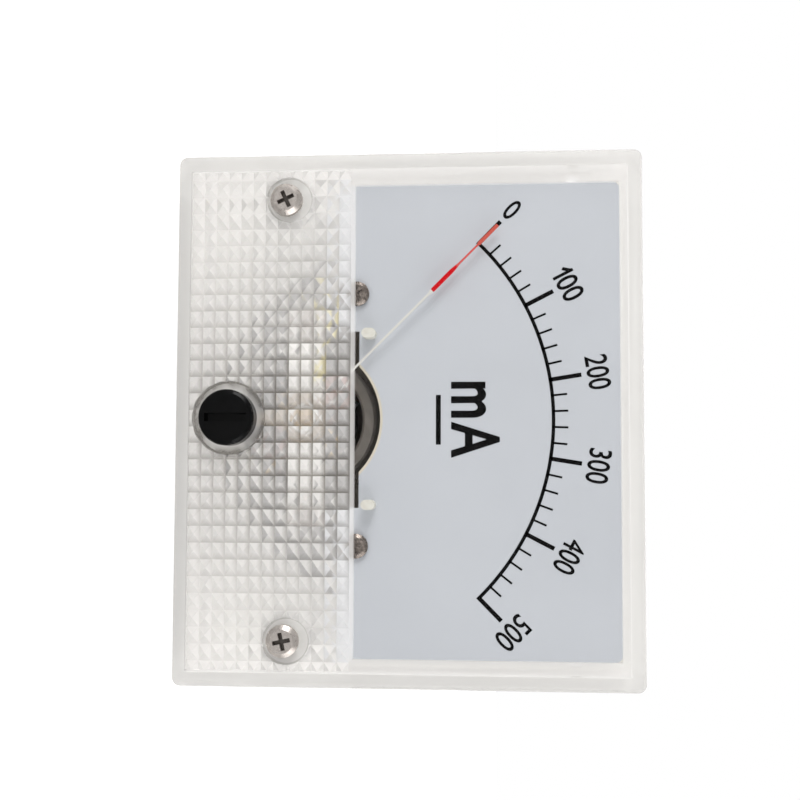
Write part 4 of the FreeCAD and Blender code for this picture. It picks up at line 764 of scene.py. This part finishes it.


# Painted shade: dark lines along the pyramids' valleys, strongest over the movement.
valley_shade = []
for axis, start, pitch in (("X", CELL_START.x, CELL_PITCH.x), ("Z", CELL_START.z, CELL_PITCH.z)):
    share = work("FRACT", work("DIVIDE", work("SUBTRACT", split.outputs[axis], start), pitch))
    valley_shade.append(rise(share, CELL_SHADE_STARTS, 1.0))
over_movement = rise(distance(*SHADE_MIDDLE), SHADE_OUTER, SHADE_INNER)
shade = work("MULTIPLY", work("MAXIMUM", *valley_shade), over_movement)
shade = work("MULTIPLY", shade, work("LESS_THAN", split.outputs["Y"], CELL_BACK))
shade = work("MULTIPLY", shade, within(CELLS_LOW, CELLS_HIGH))
recess_shade = 0.0
# Painted shade: a dark ring just inside the edge of each recess.
for x, z, radius, width, share in (KNOB_RECESS, *SCREW_RECESSES):
    away = distance(x, z)
    edge = work("COMPARE", away, radius - width / 2, width / 2)
    recess_shade = work("MULTIPLY_ADD", edge, share, recess_shade)
    shade = work("MULTIPLY", shade, work("GREATER_THAN", away, radius))
# Painted reflection: the black knob seen in its recess wall, as mottled dark spots.
away = distance(*KNOB_RECESS[:2])
knob_reflection = work("MULTIPLY", rise(away, KNOB_REFLECTION_STARTS, KNOB_REFLECTION_ENDS), work("LESS_THAN", away, KNOB_RECESS[2]))
spots = rise(clear_cover.clouds(KNOB_REFLECTION_GRAIN), SPOTS_LOW, SPOTS_HIGH)
knob_reflection = work("MULTIPLY", knob_reflection, work("MULTIPLY_ADD", spots, KNOB_REFLECTION_MOST - KNOB_REFLECTION_LEAST, KNOB_REFLECTION_LEAST))
shade = work("MAXIMUM", shade, knob_reflection)
# The ramp paints the shade, the rings and the knob's reflection into the cover's colour.
shade_ramp = clear_cover.node("ShaderNodeValToRGB")
shade_ramp.color_ramp.elements[0].color = (*tone(*CLEAR_TONE), 1)
shade_ramp.color_ramp.elements[1].color = (*tone(*SHADE_TONE), 1)
clear_cover.link(work("MAXIMUM", recess_shade, shade), shade_ramp.inputs["Fac"])
clear_cover.link(shade_ramp.outputs["Color"], clear_cover.shader.inputs["Base Color"])
clear_cover.link(by_zone(CLEAR_SHARE), clear_cover.shader.inputs["Transmission Weight"])
clear_cover.link(by_zone(COVER_ROUGHNESS), clear_cover.shader.inputs["Roughness"])
clear_cover.relief(RIPPLE_GRAIN, RIPPLE_DEPTH)
passing = clear_cover.node("ShaderNodeBsdfTransparent")
clear_cover.link(by_zone(LIGHT_SHARE), passing.inputs["Color"])
path = clear_cover.node("ShaderNodeLightPath")
choose = clear_cover.node("ShaderNodeMixShader")
lit_through = work("MAXIMUM", path.outputs["Is Shadow Ray"], path.outputs["Is Diffuse Ray"])
clear_cover.link(lit_through, choose.inputs[0])
clear_cover.link(clear_cover.shader.outputs[0], choose.inputs[1])
clear_cover.link(passing.outputs[0], choose.inputs[2])
clear_cover.link(choose.outputs[0], clear_cover.tree.nodes["Material Output"].inputs["Surface"])
dress(clear_cover, "front_cover")


# Zero adjuster
# A black moulded head with a driver slot and a crank pin behind, kept in the cover by a spring ring.
# Turning it swings a stamped brass lever that holds the front hairspring.

black_plastic = Finish("black_plastic", tone(5, 5, 6), 0.14)
black_plastic.mottle(tone(3, 3, 3), tone(9, 9, 10), 0.9 * MM)
black_plastic.relief(2.4 * MM, 0.12 * MM).gloss(0.08, 0.2, 0.7 * MM)
black_plastic.shader.inputs["Specular IOR Level"].default_value = 0.12
dress(black_plastic, "zero_adjuster")
retainer_steel = Finish("retainer_steel", tone(150, 150, 150), 0.34, 1.0).gloss(0.28, 0.42, 0.4 * MM)
dress(retainer_steel, "adjuster_retainer")
lever_brass = Finish("lever_brass", tone(162, 142, 108), 0.4, 0.7)
lever_brass.mottle(tone(150, 130, 98), tone(172, 152, 118), 0.8 * MM).gloss(0.28, 0.44, 0.5 * MM)
dress(lever_brass, "zero_lever")


# Terminals
# Two M4 brass studs, hexagon headed inside, each with a washer, a lock nut, a solder lug and a nut.
# Their thread is rolled; washers and lugs are tinned.

TERMINAL_PITCH = 0.7 * MM
TERMINAL_CREST = 2.0 * MM
TERMINAL_ROOT = 1.66 * MM
TERMINAL_END_BEVEL = 0.45 * MM
TERMINAL_CUT_LEAD = 0.5 * MM
TERMINAL_MERGE = 1e-6
RIDGE_SINK = 0.05 * MM
THREAD_STEPS = 24
RIDGE_SHARE = 0.92
CREST_SHARE = 0.16


def thread(name, length, root, crest, pitch):
    """A ridge that winds back along Y from the origin: a narrow wedge, screwed up and capped."""
    bpy.ops.object.select_all(action="DESELECT")
    bpy.ops.mesh.primitive_plane_add(size=1, location=(0, 0, 0))
    ridge = bpy.context.object
    ridge.name = name
    width = crest - root
    ridge.scale = (width, pitch * RIDGE_SHARE, 1)
    ridge.location = (root + width / 2, pitch / 2, 0)
    settle(ridge)
    pick(ridge, lambda point: point.x > root + width / 2)
    bpy.ops.object.mode_set(mode="EDIT")
    bpy.ops.transform.resize(value=(1, CREST_SHARE, 1), center_override=(crest, pitch / 2, 0))
    bpy.ops.mesh.select_all(action="SELECT")
    bpy.ops.mesh.delete(type="ONLY_FACE")
    bpy.ops.object.mode_set(mode="OBJECT")
    screw = ridge.modifiers.new("screw", "SCREW")
    screw.axis = "Y"
    screw.screw_offset = pitch
    screw.iterations = int(length / pitch) - 1
    screw.steps = THREAD_STEPS
    screw.render_steps = THREAD_STEPS
    bpy.ops.object.modifier_apply(modifier="screw")
    bpy.ops.object.mode_set(mode="EDIT")
    bpy.ops.mesh.select_all(action="SELECT")
    bpy.ops.mesh.fill_holes(sides=4)
    bpy.ops.mesh.select_all(action="SELECT")
    bpy.ops.mesh.normals_make_consistent(inside=False)
    bpy.ops.object.mode_set(mode="OBJECT")
    return ridge


def twin(node, name):
    """A new piece with a merged copy of a solid's mesh."""
    piece = bpy.data.objects.new(name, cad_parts[node].data.copy())
    bpy.context.scene.collection.objects.link(piece)
    only(piece)
    bpy.ops.object.mode_set(mode="EDIT")
    bpy.ops.mesh.select_all(action="SELECT")
    bpy.ops.mesh.remove_doubles(threshold=TERMINAL_MERGE)
    bpy.ops.object.mode_set(mode="OBJECT")
    return piece


terminal_brass = Finish("terminal_brass", tone(216, 190, 124), 0.3, 1.0)
terminal_brass.mottle(tone(213, 187, 122), tone(221, 196, 132), 2.4 * MM).gloss(0.27, 0.35, 0.6 * MM)
tinned_metal = Finish("tinned_metal", tone(208, 208, 206), 0.32, 1.0)
tinned_metal.mottle(tone(198, 198, 196), tone(216, 216, 214), 1 * MM).gloss(0.26, 0.4, 0.5 * MM)
stud_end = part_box("terminal_stud_positive")[1].y
ridge = thread("terminal_ridge", stud_end - TERMINAL_END_BEVEL - barrel_end,
               TERMINAL_ROOT - RIDGE_SINK, TERMINAL_CREST, TERMINAL_PITCH)
cut_starts = barrel_end - TERMINAL_CUT_LEAD
shrink = TERMINAL_ROOT / TERMINAL_CREST
for terminal in ("positive", "negative"):
    node = f"terminal_stud_{terminal}"
    low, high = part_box(node)
    x = (low.x + high.x) / 2
    stud = twin(node, f"terminal_{terminal}_threaded")
    pick(stud, lambda point: point.y > cut_starts and math.hypot(point.x - x, point.z) > TERMINAL_ROOT)
    bpy.ops.object.mode_set(mode="EDIT")
    bpy.ops.transform.resize(value=(shrink, 1, shrink), center_override=(x, 0, 0))
    bpy.ops.object.mode_set(mode="OBJECT")
    stud = join([stud, copy_to(ridge, "ridge_copy", (x, barrel_end, 0))])
    fit(stud, terminal_brass, "case")
    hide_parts(node)
    dress(terminal_brass, f"terminal_lock_nut_{terminal}", f"terminal_nut_{terminal}")
    dress(tinned_metal, f"terminal_washer_{terminal}", f"solder_lug_{terminal}")
bpy.data.objects.remove(ridge)


# Mounting studs
# Two M3 steel studs pressed into the flange's bosses, with a rolled thread at the end.
# Each has a washer and a nut on it, as supplied, which draw the meter against its panel.

MOUNTING_PITCH = 0.5 * MM
MOUNTING_CREST = 1.5 * MM
MOUNTING_ROOT = 1.28 * MM
MOUNTING_END_BEVEL = 0.45 * MM
MOUNTING_RUN_OUT = 1.2 * MM

dress(screw_steel, "mounting_stud_left", "mounting_stud_right", "mounting_washer_left",
      "mounting_washer_right", "mounting_nut_left", "mounting_nut_right")
stud_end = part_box("mounting_stud_left")[1].y
thread_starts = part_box("mounting_washer_left")[0].y - MOUNTING_RUN_OUT
ridge = thread("mounting_ridge", stud_end - MOUNTING_END_BEVEL - thread_starts,
               MOUNTING_ROOT, MOUNTING_CREST, MOUNTING_PITCH)
for side in ("left", "right"):
    low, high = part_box(f"mounting_stud_{side}")
    place = ((low.x + high.x) / 2, thread_starts, (low.z + high.z) / 2)
    fit(copy_to(ridge, f"mounting_thread_{side}", place), screw_steel, "case")
bpy.data.objects.remove(ridge)
